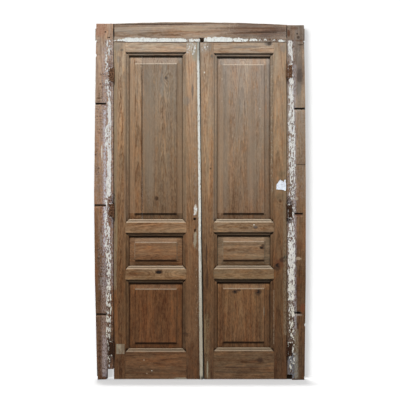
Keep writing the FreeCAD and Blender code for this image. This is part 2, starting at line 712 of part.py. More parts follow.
def dead_bolt():
    d = DEAD_BOLT
    nose = block(LEFT_WIDTH - d["length"], LEFT_WIDTH, *BOLT_Y, d["z0"], d["z1"])
    tail = block(d["tail"], LEFT_WIDTH - d["length"], *BOLT_Y, d["z0"] + 2, d["z1"] - 2)
    return united([nose, tail])


def lock_mortise():
    """What the left meeting stile loses to the lock, its faceplate and its two holes in the front."""
    c, f = CASE, FACEPLATE
    body = block(c["u0"], LEFT_WIDTH, c["y0"], c["y1"], c["z0"], c["z1"])
    rebate = block(case_end(), LEFT_WIDTH + 1, f["y0"], f["y1"], f["z0"], f["z1"])
    holes = [spindle_rod(SPINDLE_HOLE, FRONT - 1, c["y0"] + 1), keyhole(FRONT - 1, c["y0"] + 1)]
    return [body, rebate] + holes + screw_holes(faceplate_screw_places())


def keeper_screw_places():
    y = (KEEPER["y0"] + KEEPER["y1"]) / 2
    heights = (KEEPER["z0"] + 7, (LATCH["z0"] + DEAD_BOLT["z1"]) / 2, KEEPER["z1"] - 7)
    return [(V(RIGHT_WIDTH, y, z), V(-1, 0, 0)) for z in heights]


def keeper_plate():
    """The plate in the right leaf's meeting edge that receives the latch and the bolt."""
    k = KEEPER
    sheet = block(RIGHT_WIDTH - k["thickness"], RIGHT_WIDTH, k["y0"], k["y1"], k["z0"], k["z1"])
    u0 = RIGHT_WIDTH - k["thickness"] - 1
    cutters = edge_holes(*BOLT_Y, KEEPER_HOLE_MARGIN, u0, RIGHT_WIDTH + 1)
    return less(sheet, cutters + screw_holes(keeper_screw_places()))


def keeper_mortise():
    k = KEEPER
    rebate = block(RIGHT_WIDTH - k["thickness"], RIGHT_WIDTH + 1, k["y0"], k["y1"], k["z0"], k["z1"])
    pockets = edge_holes(*BOLT_Y, KEEPER_HOLE_MARGIN, RIGHT_WIDTH - KEEPER_POCKET, RIGHT_WIDTH + 1)
    return [rebate] + pockets + screw_holes(keeper_screw_places())


# ---------------------------------------------------------------- the right leaf's meeting edge
def meeting_lip():
    """A thin lip that closes the joint between the leaves, at the bottom of a quirk."""
    front, back = FRONT + LIP["front"], FRONT + LIP["back"]
    return block(RIGHT_WIDTH - 1, RIGHT_WIDTH + LIP["out"], front, back, LEAF_BOTTOM, LEAF_TOP)


def meeting_quirk():
    u0 = RIGHT_WIDTH + LIP["out"] - LIP["quirk"]
    return block(u0, RIGHT_WIDTH + 1, FRONT - 1, FRONT + LIP["front"], 0, LEAF_TOP + 1)


# ---------------------------------------------------------------- a whole leaf
def leaf_pieces(leaf):
    """Every piece of joinery and hinge that both leaves have, in the leaf's own coordinates."""
    spaces = openings(leaf)
    edge_cutters = []
    for z in leaf["hinges"]:
        edge_cutters += [leaf_plate_block(z)] + screw_holes(leaf_screw_places(z))
    pieces = {
        "hinge_stile": less(stile(leaf, True), edge_cutters),
        "meeting_stile": stile(leaf, False),
        "middle_panel": panel(spaces["middle"]),
        "lower_panel": panel(spaces["lower"]),
    }
    for name in leaf["rails"]:
        pieces[name] = rail(leaf, name)
    pegs = [peg(u, z, FRONT - PEG_PROUD, LEAF_BACK) for _, _, u, z in peg_places(leaf)]
    pieces["leaf_pegs"] = Part.makeCompound(pegs)
    pairs = [wedges(*t[2:]) for t in tenons(leaf) if is_through(leaf, t)]
    pieces["tenon_wedges"] = Part.makeCompound([wedge for pair in pairs for wedge in pair])
    for place, z in zip(("top", "middle", "bottom"), leaf["hinges"]):
        pieces[place + "_leaf_hinge_plate"] = leaf_hinge_plate(z)
    screws = [wood_screw(*place) for z in leaf["hinges"] for place in leaf_screw_places(z)]
    pieces["leaf_hinge_screws"] = Part.makeCompound(screws)
    return pieces


def left_leaf():
    pieces = leaf_pieces(LEFT_LEAF)
    spaces = openings(LEFT_LEAF)
    tall = panel(spaces["upper"], TALL_PANEL_TOP_BEVEL)
    narrow, wide = split_panel(tall, spaces["upper"])
    pieces["upper_panel_narrow_board"] = narrow
    pieces["upper_panel_wide_board"] = wide
    b = REPAIR_BLOCK
    block_room = block(b["u0"], b["u1"], FRONT, FRONT + b["depth"], b["z0"], b["z1"])
    pieces["hinge_stile"] = less(pieces["hinge_stile"], [block_room])
    pieces["repair_block"] = block_room
    u0 = LEFT_WIDTH + BEAD_OVERHANG - BEAD_WIDTH
    rebate = block(u0, LEFT_WIDTH + 1, FRONT - 1, FRONT + BEAD_REBATE, 0, LEAF_TOP + 1)
    cutters = [rebate] + bead_nail_holes() + lock_mortise()
    pieces["meeting_stile"] = less(pieces["meeting_stile"], cutters)
    pieces["meeting_bead"] = meeting_bead()
    pieces["bead_nails"] = Part.makeCompound([bead_nail(z) for z in BEAD_NAIL_HEIGHTS])
    pieces["lock_case"] = lock_case()
    pieces["lock_cap"] = lock_cap()
    pieces["lock_faceplate"] = lock_faceplate()
    pieces["lock_screws"] = Part.makeCompound([wood_screw(*p) for p in faceplate_screw_places()])
    pieces["lock_follower"] = follower()
    pieces["latch_bolt"] = latch_bolt()
    pieces["dead_bolt"] = dead_bolt()
    return pieces


def right_leaf():
    pieces = leaf_pieces(RIGHT_LEAF)
    pieces["upper_panel"] = panel(openings(RIGHT_LEAF)["upper"], TALL_PANEL_TOP_BEVEL)
    lipped = united([pieces["meeting_stile"], meeting_lip()])
    pieces["meeting_stile"] = less(lipped, [meeting_quirk()] + keeper_mortise())
    pieces["keeper_plate"] = keeper_plate()
    pieces["keeper_screws"] = Part.makeCompound([wood_screw(*p) for p in keeper_screw_places()])
    p = PAPER_LABEL
    pieces["paper_label"] = block(p["u0"], p["u1"], FRONT - p["thickness"], FRONT, p["z0"], p["z1"])
    return pieces


def frame_pieces():
    pieces = {
        "left_jamb": left_jamb(),
        "right_jamb": right_jamb(),
        "frame_head": head(),
        "frame_pegs": Part.makeCompound(frame_pegs()),
    }
    screws = []
    for leaf in (LEFT_LEAF, RIGHT_LEAF):
        for place, z in zip(("top", "middle", "bottom"), leaf["hinges"]):
            name = leaf["name"] + "_" + place + "_frame_hinge_plate"
            pieces[name] = in_room(leaf, frame_hinge_plate(z))
            screws += [in_room(leaf, wood_screw(*p)) for p in frame_screw_places(z)]
        pins = [in_room(leaf, hinge_pin(z)) for z in leaf["hinges"]]
        pieces[leaf["name"] + "_hinge_pins"] = Part.makeCompound(pins)
    pieces["frame_hinge_screws"] = Part.makeCompound(screws)
    return pieces


for piece_name, piece in frame_pieces().items():
    save(piece_name, piece)
for leaf, pieces in ((LEFT_LEAF, left_leaf()), (RIGHT_LEAF, right_leaf())):
    for piece_name, piece in pieces.items():
        save(leaf["name"] + "_" + piece_name, in_room(leaf, piece))
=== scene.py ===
import json
import math

import bmesh
import bpy
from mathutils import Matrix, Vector, noise

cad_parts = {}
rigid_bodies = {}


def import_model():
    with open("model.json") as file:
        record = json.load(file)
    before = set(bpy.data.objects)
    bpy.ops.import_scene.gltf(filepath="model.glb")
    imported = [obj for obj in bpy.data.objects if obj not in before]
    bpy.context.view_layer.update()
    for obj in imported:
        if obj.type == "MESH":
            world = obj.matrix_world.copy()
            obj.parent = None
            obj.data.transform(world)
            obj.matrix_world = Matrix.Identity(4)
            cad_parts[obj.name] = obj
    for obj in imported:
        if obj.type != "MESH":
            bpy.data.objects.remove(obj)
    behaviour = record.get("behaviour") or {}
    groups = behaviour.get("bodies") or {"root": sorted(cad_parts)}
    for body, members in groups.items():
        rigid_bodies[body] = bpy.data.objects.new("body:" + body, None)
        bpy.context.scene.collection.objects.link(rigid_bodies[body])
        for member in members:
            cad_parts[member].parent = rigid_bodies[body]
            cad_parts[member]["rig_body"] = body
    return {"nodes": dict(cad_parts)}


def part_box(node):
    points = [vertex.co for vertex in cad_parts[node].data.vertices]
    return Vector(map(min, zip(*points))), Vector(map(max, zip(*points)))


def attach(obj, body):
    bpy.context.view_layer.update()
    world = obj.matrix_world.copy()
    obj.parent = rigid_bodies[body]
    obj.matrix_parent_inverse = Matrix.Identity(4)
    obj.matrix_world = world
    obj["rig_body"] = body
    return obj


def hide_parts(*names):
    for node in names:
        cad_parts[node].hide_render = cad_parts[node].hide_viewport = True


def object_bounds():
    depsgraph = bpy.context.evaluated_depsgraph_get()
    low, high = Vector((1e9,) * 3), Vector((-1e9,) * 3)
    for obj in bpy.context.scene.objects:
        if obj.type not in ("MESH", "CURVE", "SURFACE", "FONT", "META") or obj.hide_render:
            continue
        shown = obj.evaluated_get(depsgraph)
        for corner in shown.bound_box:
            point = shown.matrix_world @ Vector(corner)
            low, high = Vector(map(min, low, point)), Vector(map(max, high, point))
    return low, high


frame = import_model()
cadBox = [list(corner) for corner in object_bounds()]
print("stage: frame loaded,", len(frame["nodes"]), "nodes")


# colours, and a short way to write node trees

def shade(red, green, blue):  # as a paint card gives it, 0 to 255
    def plain(value):
        value = value / 255
        return value / 12.92 if value < 0.0405 else ((value + 0.055) / 1.055) ** 2.4

    return (plain(red), plain(green), plain(blue), 1.0)


class Sketch:  # puts nodes into one tree and hands back their sockets
    def __init__(self, tree):
        self.tree = tree

    def give(self, node, key, value):  # a socket is linked, anything else is set
        if isinstance(value, bpy.types.NodeSocket):
            self.tree.links.new(value, node.inputs[key])
        else:
            node.inputs[key].default_value = value

    def add(self, kind, inputs=None, **settings):
        node = self.tree.nodes.new(kind)
        for name, value in settings.items():
            setattr(node, name, value)
        for key, value in (inputs or {}).items():
            self.give(node, key, value)
        return node

    def math(self, operation, first, second=0.0, third=0.0):
        return self.add("ShaderNodeMath", {0: first, 1: second, 2: third}, operation=operation).outputs[0]

    def plus(self, first, second):
        return self.math("ADD", first, second)

    def minus(self, first, second):
        return self.math("SUBTRACT", first, second)

    def times(self, first, second):
        return self.math("MULTIPLY", first, second)

    def timesPlus(self, first, second, third):
        return self.math("MULTIPLY_ADD", first, second, third)

    def over(self, first, second):
        return self.math("DIVIDE", first, second)

    def most(self, first, second):
        return self.math("MAXIMUM", first, second)

    def length(self, first, second):  # of the slant across two sides
        return self.math("SQRT", self.timesPlus(first, first, self.times(second, second)))

    def bell(self, value, steep):
        return self.math("EXPONENT", self.times(self.times(value, value), -steep))

    def swing(self, ripple, strength, value):  # a noise's swing about its middle, added to a value
        return self.timesPlus(self.minus(ripple, 0.5), strength, value)

    def crease(self, ripple, wide, narrow):  # thin lines where a noise crosses its middle
        return self.fit(self.math("ABSOLUTE", self.minus(ripple, 0.5)), wide, narrow)

    def vector(self, operation, first, second=(0, 0, 0)):
        made = self.add("ShaderNodeVectorMath", {0: first, 1: second}, operation=operation).outputs
        return made["Value" if operation == "LENGTH" else "Vector"]

    def fit(self, value, low, high, start=0.0, end=1.0, smooth=True):
        inputs = {"Value": value, "From Min": low, "From Max": high, "To Min": start, "To Max": end}
        style = "SMOOTHSTEP" if smooth else "LINEAR"
        return self.add("ShaderNodeMapRange", inputs, interpolation_type=style).outputs[0]

    def mix(self, factor, first, second, blend="MIX"):
        inputs = {0: factor, 6: first, 7: second}
        return self.add("ShaderNodeMix", inputs, data_type="RGBA", blend_type=blend).outputs[2]

    def dye(self, colour, share, tint):  # a tint multiplied into a share of the colour
        return self.mix(share, colour, self.mix(1.0, colour, (*tint, 1), "MULTIPLY"))

    def ramp(self, value, stops):
        node = self.add("ShaderNodeValToRGB", {0: value})
        marks = node.color_ramp.elements
        while len(marks) < len(stops):
            marks.new(0.5)
        for mark, (place, colour) in zip(marks, stops):
            mark.position = place
            mark.color = colour
        return node.outputs[0]

    def noise(self, place, scale, detail=2.0, board=0.0, rough=0.55):
        if isinstance(scale, tuple):
            place, scale = self.vector("MULTIPLY", place, scale), 1.0
        inputs = {"Vector": place, "W": board, "Scale": scale, "Detail": detail, "Roughness": rough}
        return self.add("ShaderNodeTexNoise", inputs, noise_dimensions="4D").outputs[0]

    def dots(self, inputs, wide, narrow, share, **settings):  # round spots in some of the cells
        cells = self.add("ShaderNodeTexVoronoi", inputs, **settings).outputs
        pick = self.split(cells["Color"])[0]
        return self.times(self.fit(cells["Distance"], wide, narrow), self.fit(pick, share, share + 0.02))

    def nook(self, reach, samples=6):  # 1 in the open, less in a corner
        return self.add("ShaderNodeAmbientOcclusion", {"Distance": reach}, samples=samples).outputs["AO"]

    def split(self, vector):
        return self.add("ShaderNodeSeparateXYZ", {0: vector}).outputs[:]

    def join(self, x, y, z):
        return self.add("ShaderNodeCombineXYZ", {0: x, 1: y, 2: z}).outputs[0]

    def coat(self, surface, colour, rough, height, strength, depth):  # colour, gloss and relief
        bump = self.add("ShaderNodeBump", {"Strength": strength, "Distance": depth, "Height": height})
        for key, value in (("Base Color", colour), ("Normal", bump.outputs[0]), ("Roughness", rough)):
            self.give(surface, key, value)


def objectPlace(s):
    return s.add("ShaderNodeTexCoord").outputs["Object"]


def newMaterial(name):
    material = bpy.data.materials.new(name)
    material.use_nodes = True
    material.node_tree.nodes.clear()
    s = Sketch(material.node_tree)
    surface = s.add("ShaderNodeBsdfPrincipled")
    s.add("ShaderNodeOutputMaterial", {"Surface": surface.outputs[0]})
    return material, s, surface


def readAt(table, place):  # a row's values at a place, straight between the table's rows
    for rows in zip(table, table[1:]):
        (start, *first), (end, *last) = sorted(rows)
        if start <= place <= end:
            share = (place - start) / (end - start)
            return [a + (b - a) * share for a, b in zip(first, last)]
    return None


def between(value, low, high):
    return max(0.0, min(1.0, (value - low) / (high - low)))


# old pine: growth rings round a pith, streaks, knots, grime, and painted shade in corners and under the
# mouldings

pineLook = {
    "ringSpacing": 0.0052,
    "ringWaver": 0.55,
    "streaks": (0.62, 0.36),  # their contrast near the floor and near the top
    "mottle": (1.5, 0.7),
    "patches": (0.8, 0.25),
    "fibreDepth": 0.0008,
    # how far the grime with painted shade in corners reaches, and how far the tighter painted shade in
    # crevices reaches
    "grimeAndShadeReach": 0.022,
    "creviceShadeReach": 0.006,
    "knotStretch": 0.72,  # a knot is longer along the grain than across it
    "gloss": 0.12,
}
pineHeights = [  # how the wood's colour changes from the floor to the top
    (0.03, shade(84, 60, 41)),
    (0.28, shade(101, 73, 48)),
    (0.46, shade(127, 97, 70)),
    (0.66, shade(153, 125, 97)),
    (0.90, shade(170, 147, 124)),
]
pineSpread = [  # from dark grain to pale grain
    (0.1, (0.40, 0.31, 0.23, 1)),
    (0.48, (0.97, 0.96, 0.95, 1)),
    (0.88, (1.65, 1.68, 1.66, 1)),
]
pineGrains = {  # how fine across the board and along it, detail, the noise's own offset, roughness
    "waver": (4.0, 0.9, 2.0, 0.0, 0.55),
    "blur": (30.0, 2.5, 2.0, 0.0, 0.55),
    "streak": (120.0, 2.2, 3.0, 0.0, 0.6),
    "blotch": (9.0, 3.0, 3.0, 5.0, 0.55),
    "fibre": (900.0, 22.0, 2.0, 0.0, 0.55),
    "mottle": (150.0, 48.0, 4.0, 1.0, 0.7),
    "patches": (36.0, 13.0, 3.0, 12.0, 0.62),
    "dashes": (170.0, 30.0, 1.5, 0.0, 0.55),
    "warmth": (100.0, 22.0, 3.0, 8.0, 0.65),
    "cast": (16.0, 5.0, 3.0, 10.0, 0.6),
    "redness": (45.0, 1.1, 2.0, 2.0, 0.55),
    "greyness": (26.0, 1.8, 4.0, 9.0, 0.6),
    "worked": (50.0, 2.4, 3.0, 4.0, 0.55),
    "check": (150.0, 1.3, 1.0, 3.0, 0.55),
    "dust": (210.0, 90.0, 2.0, 6.0, 0.55),
}
pineDyes = {  # what each mark multiplies the wood's colour by
    "dash": (0.42, 0.28, 0.2),
    "warm": (1.18, 0.96, 0.72),
    "cool": (0.9, 1.0, 1.12),
    "sunny": (1.12, 0.97, 0.84),
    "shady": (0.93, 1.01, 1.06),
    "red": (1.16, 0.93, 0.8),
    "patina": (0.84, 0.95, 1.08),
    "worked": (0.62, 0.68, 0.74),
    "check": (0.3, 0.26, 0.22),
    "knot": (0.4, 0.3, 0.23),
    "grimeAndShade": (0.26, 0.22, 0.19),
    # the dark dye for painted shade under the mouldings and in their crevices
    "dirt": (0.16, 0.12, 0.1),
    "dust": (1.7, 1.85, 2.0),
    "saw": (0.34, 0.27, 0.23),
    "pit": (0.36, 0.28, 0.25),
}
topOfDoor = 2.38
knotNames = ("Knot 1", "Knot 2", "Knot 3")


def onFront(s, y, full=-0.018):  # nothing is marked on the backs
    return s.fit(y, -0.012, full)


def makePineGroup():
    tree = bpy.data.node_groups.new("oldPine", "ShaderNodeTree")
    wanted = {
        "Vector": ("Place", "Pith", "Flecks", *knotNames), "Float": ("Board", "Figure", "Patina", "Worked"),
        "Color": ("Tint",),
    }
    for kind, names in wanted.items():
        for name in names:
            tree.interface.new_socket(name=name, in_out="INPUT", socket_type="NodeSocket" + kind)
    for name, kind in (("Color", "Color"), ("Roughness", "Float"), ("Height", "Float")):
        tree.interface.new_socket(name=name, in_out="OUTPUT", socket_type="NodeSocket" + kind)
    s = Sketch(tree)
    given = s.add("NodeGroupInput").outputs
    board, place = given["Board"], given["Place"]

    def grain(name):
        wide, long, detail, offset, rough = pineGrains[name]
        return s.noise(place, (wide, wide, long), detail, s.plus(board, offset) if offset else board, rough)

    across, depth, along = s.split(place)
    across = s.swing(grain("waver"), 0.05, across)

    knots, swirl = 0.0, 0.0
    wobble = s.times(s.minus(s.noise(place, 60.0, 2.0, board), 0.5), 0.9)
    for name in knotNames:
        knotAcross, knotAlong, size = s.split(given[name])
        side = s.minus(across, knotAcross)
        lengthwise = s.times(s.minus(along, knotAlong), pineLook["knotStretch"])
        away = s.over(s.length(side, lengthwise), s.most(size, 0.0001))
        knots = s.most(knots, s.fit(s.plus(away, wobble), 1.15, 0.7))
        swirl = s.timesPlus(s.times(s.bell(away, 0.16), size), 1.1, swirl)

    pithAcross, pithDepth, slope = s.split(given["Pith"])
    behind = s.timesPlus(slope, along, s.plus(depth, pithDepth))
    radius = s.plus(s.length(s.minus(across, pithAcross), behind), swirl)
    rings = s.timesPlus(grain("blur"), pineLook["ringWaver"], s.over(radius, pineLook["ringSpacing"]))
    turn = s.math("FRACT", rings)
    late = s.times(s.fit(turn, 0.35, 0.9), s.fit(turn, 1.0, 0.93))
    bandPlace = s.join(s.times(radius, 75.0), s.times(along, 0.7), 0.0)
    band = s.noise(bandPlace, 1.0, 3.0, board, 0.65)
    blotch, fibre = grain("blotch"), grain("fibre")

    tone = s.swing(band, given["Figure"], 0.5)
    objectY, objectZ = s.split(objectPlace(s))[1:]
    height = s.over(objectZ, topOfDoor)
    tone = s.swing(grain("streak"), s.fit(height, 0.2, 0.85, *pineLook["streaks"], smooth=False), tone)
    tone = s.swing(blotch, 0.5, tone)
    tone = s.swing(grain("mottle"), s.fit(height, 0.05, 0.75, *pineLook["mottle"], smooth=False), tone)
    tone = s.swing(grain("patches"), s.fit(height, 0.08, 0.6, *pineLook["patches"], smooth=False), tone)
    tone = s.timesPlus(late, -0.16, tone)
    tone = s.swing(fibre, 0.16, tone)
    base = s.mix(1.0, s.ramp(height, pineHeights), given["Tint"], "MULTIPLY")
    wood = s.mix(1.0, base, s.ramp(tone, pineSpread), "MULTIPLY")

    def dyed(share, name):
        return s.dye(wood, share, pineDyes[name])

    fleckAcross, fleckWidth, fleckShare = s.split(given["Flecks"])  # dark dashes in a ribbon up the board
    ribbon = s.times(s.bell(s.over(s.minus(across, fleckAcross), fleckWidth), 1.0), fleckShare)
    column = s.noise(place, (42.0, 20.0, 0.4), 1.0, s.plus(board, 7.0))
    column = s.most(s.fit(column, 0.5, 0.62, 0.0, 0.6), ribbon)
    wood = dyed(s.times(s.times(s.fit(grain("dashes"), 0.5, 0.6), column), 0.8), "dash")
    warmth = grain("warmth")
    wood = dyed(s.fit(warmth, 0.52, 0.68, 0.0, 0.6), "warm")
    wood = dyed(s.fit(warmth, 0.48, 0.34, 0.0, 0.6), "cool")
    cast = grain("cast")
    wood = dyed(s.fit(cast, 0.52, 0.66, 0.0, 0.7), "sunny")
    wood = dyed(s.fit(cast, 0.48, 0.34, 0.0, 0.7), "shady")
    wood = dyed(s.times(s.fit(grain("redness"), 0.4, 0.68), 0.3), "red")

    grey = s.times(s.fit(grain("greyness"), 0.38, 0.66), given["Patina"])
    pale = s.mix(0.6, wood, base)
    wood = s.mix(grey, wood, s.mix(1.0, pale, (*pineDyes["patina"], 1), "MULTIPLY"))

    front = onFront(s, objectY)
    worked = s.times(s.fit(objectY, -0.0373, -0.031), front)  # mouldings hold more grey dirt
    worked = s.times(worked, s.fit(grain("worked"), 0.25, 0.7, 0.45, 1.0))
    wood = dyed(s.times(worked, given["Worked"]), "worked")
    check = s.times(s.crease(grain("check"), 0.012, 0.0), s.fit(blotch, 0.5, 0.62))
    wood = dyed(s.times(check, 0.55), "check")
    pins = s.dots({"Vector": place, "W": board, "Scale": 3.4}, 0.034, 0.02, 0.5, voronoi_dimensions="4D")
    wood = dyed(s.times(s.most(knots, pins), 0.78), "knot")
    # grime with painted shade: darker in corners and recesses, from ambient occlusion
    grimeAndShade = s.times(s.fit(s.nook(pineLook["grimeAndShadeReach"]), 0.92, 0.35), s.fit(blotch, 0.2, 0.6, 0.65, 1.0))
    wood = dyed(s.times(grimeAndShade, 0.72), "grimeAndShade")

    facing = s.split(s.add("ShaderNodeNewGeometry").outputs["True Normal"])[2]
    sunken = s.times(s.fit(objectY, -0.0376, -0.0366), front)
    shadeUnder = s.times(s.fit(facing, -0.5, -0.9), sunken)  # painted shade on faces that look down, in the mouldings
    # painted shade in tight crevices of the mouldings, from short ambient occlusion
    tight = s.times(s.fit(s.nook(pineLook["creviceShadeReach"], 5), 0.8, 0.3), sunken)
    wood = dyed(s.times(s.most(tight, shadeUnder), 0.97), "dirt")
    dust = s.times(s.fit(grain("dust"), 0.66, 0.72), s.fit(blotch, 0.45, 0.6))
    wood = s.mix(s.times(dust, 0.55), wood, s.mix(1.0, base, (*pineDyes["dust"], 1), "MULTIPLY"))

    lift = s.timesPlus(check, -1.0, s.timesPlus(late, 0.35, s.times(fibre, 0.5)))
    s.add("NodeGroupOutput", {"Color": wood, "Roughness": s.fit(tone, 0.2, 0.9, 0.62, 0.8), "Height": lift})
    return tree


pineGroup = makePineGroup()


def blot(s, place, mark):  # a soft-edged patch at a place on the front
    x, z, width, tall = mark
    front = onFront(s, s.split(place)[1], -0.020)
    near = s.vector("MULTIPLY", s.vector("SUBTRACT", place, (x, 0, z)), (2 / width, 0, 2 / tall))
    ragged = s.times(s.minus(s.noise(place, 110.0, 3.0, x * 7), 0.5), 1.3)
    return s.times(front, s.fit(s.plus(s.vector("LENGTH", near), ragged), 1.25, 0.65))


def wash(x, z, colour, patch, strength, soft, **more):
    return dict(more, x=x, z=z, colour=colour, patch=patch, strength=strength, soft=soft)


def washed(s, place, plan):  # thin old paint and dirt, and the mouldings' painted light and shade, between lines, in patches
    x, y, z = s.split(place)
    soft = plan["soft"]
    if plan.get("deep"):  # only in the mouldings
        inside = s.times(s.fit(y, -0.0368, -0.0360), onFront(s, y))
    else:
        inside = s.fit(y, plan.get("reach", -0.03), -0.036)
    for value, (low, high) in ((x, plan["x"]), (z, plan["z"])):
        inside = s.times(inside, s.fit(value, low - soft, low + soft))
        inside = s.times(inside, s.fit(value, high + soft, high - soft))
    ragged = s.noise(place, (190.0, 190.0, 70.0), 4.0, plan["x"][0] * 9, 0.7)
    patch = s.fit(ragged, plan["patch"] + 0.07, plan["patch"] - 0.07)
    return s.times(s.times(inside, patch), plan["strength"])


everywhere = 2.0  # the patch value of a wash with no gaps
markColours = {
    "dark": (shade(52, 36, 26), 0.75),
    "brown": (shade(92, 60, 38), 0.55),
    "grey": (shade(126, 120, 112), 0.5),
    "slate": (shade(84, 82, 80), 0.6),
    "pale": (shade(176, 158, 134), 0.6),
    "white": (shade(220, 216, 204), 0.8),
    "olive": (shade(128, 112, 82), 0.6),
    "residue": (shade(150, 148, 130), 0.65),
    "dim": ((0.62, 0.60, 0.62, 1), 1.0),  # multiplied into the wood
    "black": (shade(22, 16, 13), 0.95),
    "rust": (shade(84, 50, 32), 0.8),
    "ember": (shade(104, 56, 32), 0.6),
    "moss": (shade(96, 84, 64), 0.45),
    "haze": (shade(132, 118, 102), 0.4),
    "blush": (shade(160, 116, 92), 0.6),
}


def pine(
    name, across=False, tint=(1, 1, 1), board=0.0, pith=(0, 0.1, 0.03), figure=0.8, patina=0.5, worked=0.75,
    flecks=(0.0, 0.02, 0.0), knots=(), marks=(), washes=(), sawn=0.0,
):
    material, s, surface = newMaterial(name)
    place = objectPlace(s)
    inputs = {
        "Place": place, "Board": board, "Tint": (*tint, 1), "Pith": pith, "Figure": figure, "Patina": patina,
        "Worked": worked, "Flecks": flecks,
    }
    if across:
        turn = {"Vector": place, "Rotation": (0, math.pi / 2, 0)}
        inputs["Place"] = s.add("ShaderNodeMapping", turn).outputs[0]
    for knot, (x, z, size) in zip(knotNames, knots):
        inputs[knot] = (z, -x, size) if across else (x, z, size)
    wood = s.add("ShaderNodeGroup", inputs, node_tree=pineGroup).outputs
    colour = wood["Color"]
    if sawn:  # fine cuts and cracks across the grain
        x, y, z = s.split(place)
        tilt = s.timesPlus(x, 0.05, z)
        cuts = s.noise(s.join(s.times(x, 9.0), 0.0, s.times(tilt, 120.0)), 1.0, 1.0, board)
        broken = s.fit(s.noise(place, (150.0, 150.0, 60.0), 2.0, 4.0), 0.42, 0.58)
        here = s.times(s.fit(s.noise(place, (16.0, 16.0, 5.0), 2.0, board), 0.40, 0.56), sawn)
        colour = s.dye(colour, s.times(s.times(s.crease(cuts, 0.09, 0.02), broken), here), pineDyes["saw"])
    for *spot, kind in marks:
        stain, strength = markColours[kind]
        if kind == "dim":
            stain = s.mix(1.0, colour, stain, "MULTIPLY")
        colour = s.mix(s.times(blot(s, place, spot), strength), colour, stain)
    for plan in washes:
        if plan.get("pits"):  # dark spots where the paint took the surface with it
            pit = s.fit(s.noise(place, (150.0, 150.0, 75.0), 3.0, 3.0, 0.6), 0.50, 0.58)
            solid = washed(s, place, dict(plan, patch=everywhere, strength=plan["pits"]))
            colour = s.dye(colour, s.times(pit, solid), pineDyes["pit"])
        colour = s.mix(washed(s, place, plan), colour, s.mix(0.2, shade(*plan["colour"]), colour))
    s.coat(surface, colour, wood["Roughness"], wood["Height"], 0.7, pineLook["fibreDepth"])
    surface.inputs["Specular IOR Level"].default_value = pineLook["gloss"]
    return material


print("stage: pine ready")


# members: a CAD solid's copy with worn arrises, replaced one for one

def weldedCopy(node):  # a CAD mesh is loose triangles
    mesh = bmesh.new()
    mesh.from_mesh(frame["nodes"][node].data)
    bmesh.ops.remove_doubles(mesh, verts=mesh.verts, dist=0.00002)
    bmesh.ops.dissolve_limit(mesh, angle_limit=math.radians(1), verts=mesh.verts, edges=mesh.edges)
    return mesh


def cutAlong(mesh, axis, places):
    normal = Vector((0, 0, 0))
    normal[axis] = 1
    for place in places:
        geometry = mesh.verts[:] + mesh.edges[:] + mesh.faces[:]
        bmesh.ops.bisect_plane(mesh, geom=geometry, dist=0.00004, plane_co=normal * place, plane_no=normal)


def newPiece(name, data):
    piece = bpy.data.objects.new(name, data)
    bpy.context.scene.collection.objects.link(piece)
    return piece


def finishMesh(name, mesh, material, smoothAngle=35):
    data = bpy.data.meshes.new(name)
    mesh.to_mesh(data)
    mesh.free()
    data.polygons.foreach_set("use_smooth", [True] * len(data.polygons))
    data.set_sharp_from_angle(angle=math.radians(smoothAngle))
    data.materials.append(material)
    return newPiece(name, data)


def bodyOf(node):
    return frame["nodes"][node]["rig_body"]


wear = {
    "arris": 0.0013,  # rounding along every long edge
    "step": 0.03,
    "waver": 0.0009,  # how far a long edge wanders inward
    "chip": 0.0035,
    "rim": 0.985,  # how far out, as a share of the half width, the wandering skin starts
    "hidden": (-0.0245, -0.0115),  # edges between these depths are inside the joints
    "bowed": (0.655, 0.698),  # a jamb bows between these distances from the middle
    "wane": (2.362, 0.0035),  # above this height the head's upper edge is uneven, and by how much
}
joint = {  # the leaves meet on a line that leans a little
    "leanAbove": -0.0106,
    "leanBelow": -0.0129,
    "straight": (0.94, 1.14),  # it is true beside the lock
    "reach": (-0.0165, 0.0205),
    "beadEdge": 0.0085,  # the worn right edge of the bead, where the joint is true
    "lowBead": 0.0012,  # its paint is thicker low down
    "lipEdge": 0.0104,
    "lip": 0.0130,  # the other leaf's lip, step and quirk as they were cut
    "step": 0.0145,
    "corner": 0.0180,
    "lipBack": -0.0315,  # the lip ends at this depth and the step at the next
    "stepBack": -0.0262,
    "quirkWall": (0.0180, 0.0120),  # the worn quirk is wide below the first height, tight above the second
    "worn": (0.6, 1.2),
    "lapCuts": (-0.0258, -0.0246),
    "lapFrom": (0.0075, -0.0255),  # the stile laps to the right of this and in front of this
    "lap": 0.0028,
}


def leanAt(z):
    low, high = joint["straight"]
    return joint["leanAbove"] * max(0.0, z - high) - joint["leanBelow"] * max(0.0, low - z)


def bite(at, reach, depth, toward):  # a corner broken away
    return {"at": at, "reach": reach, "depth": depth, "toward": Vector(toward)}


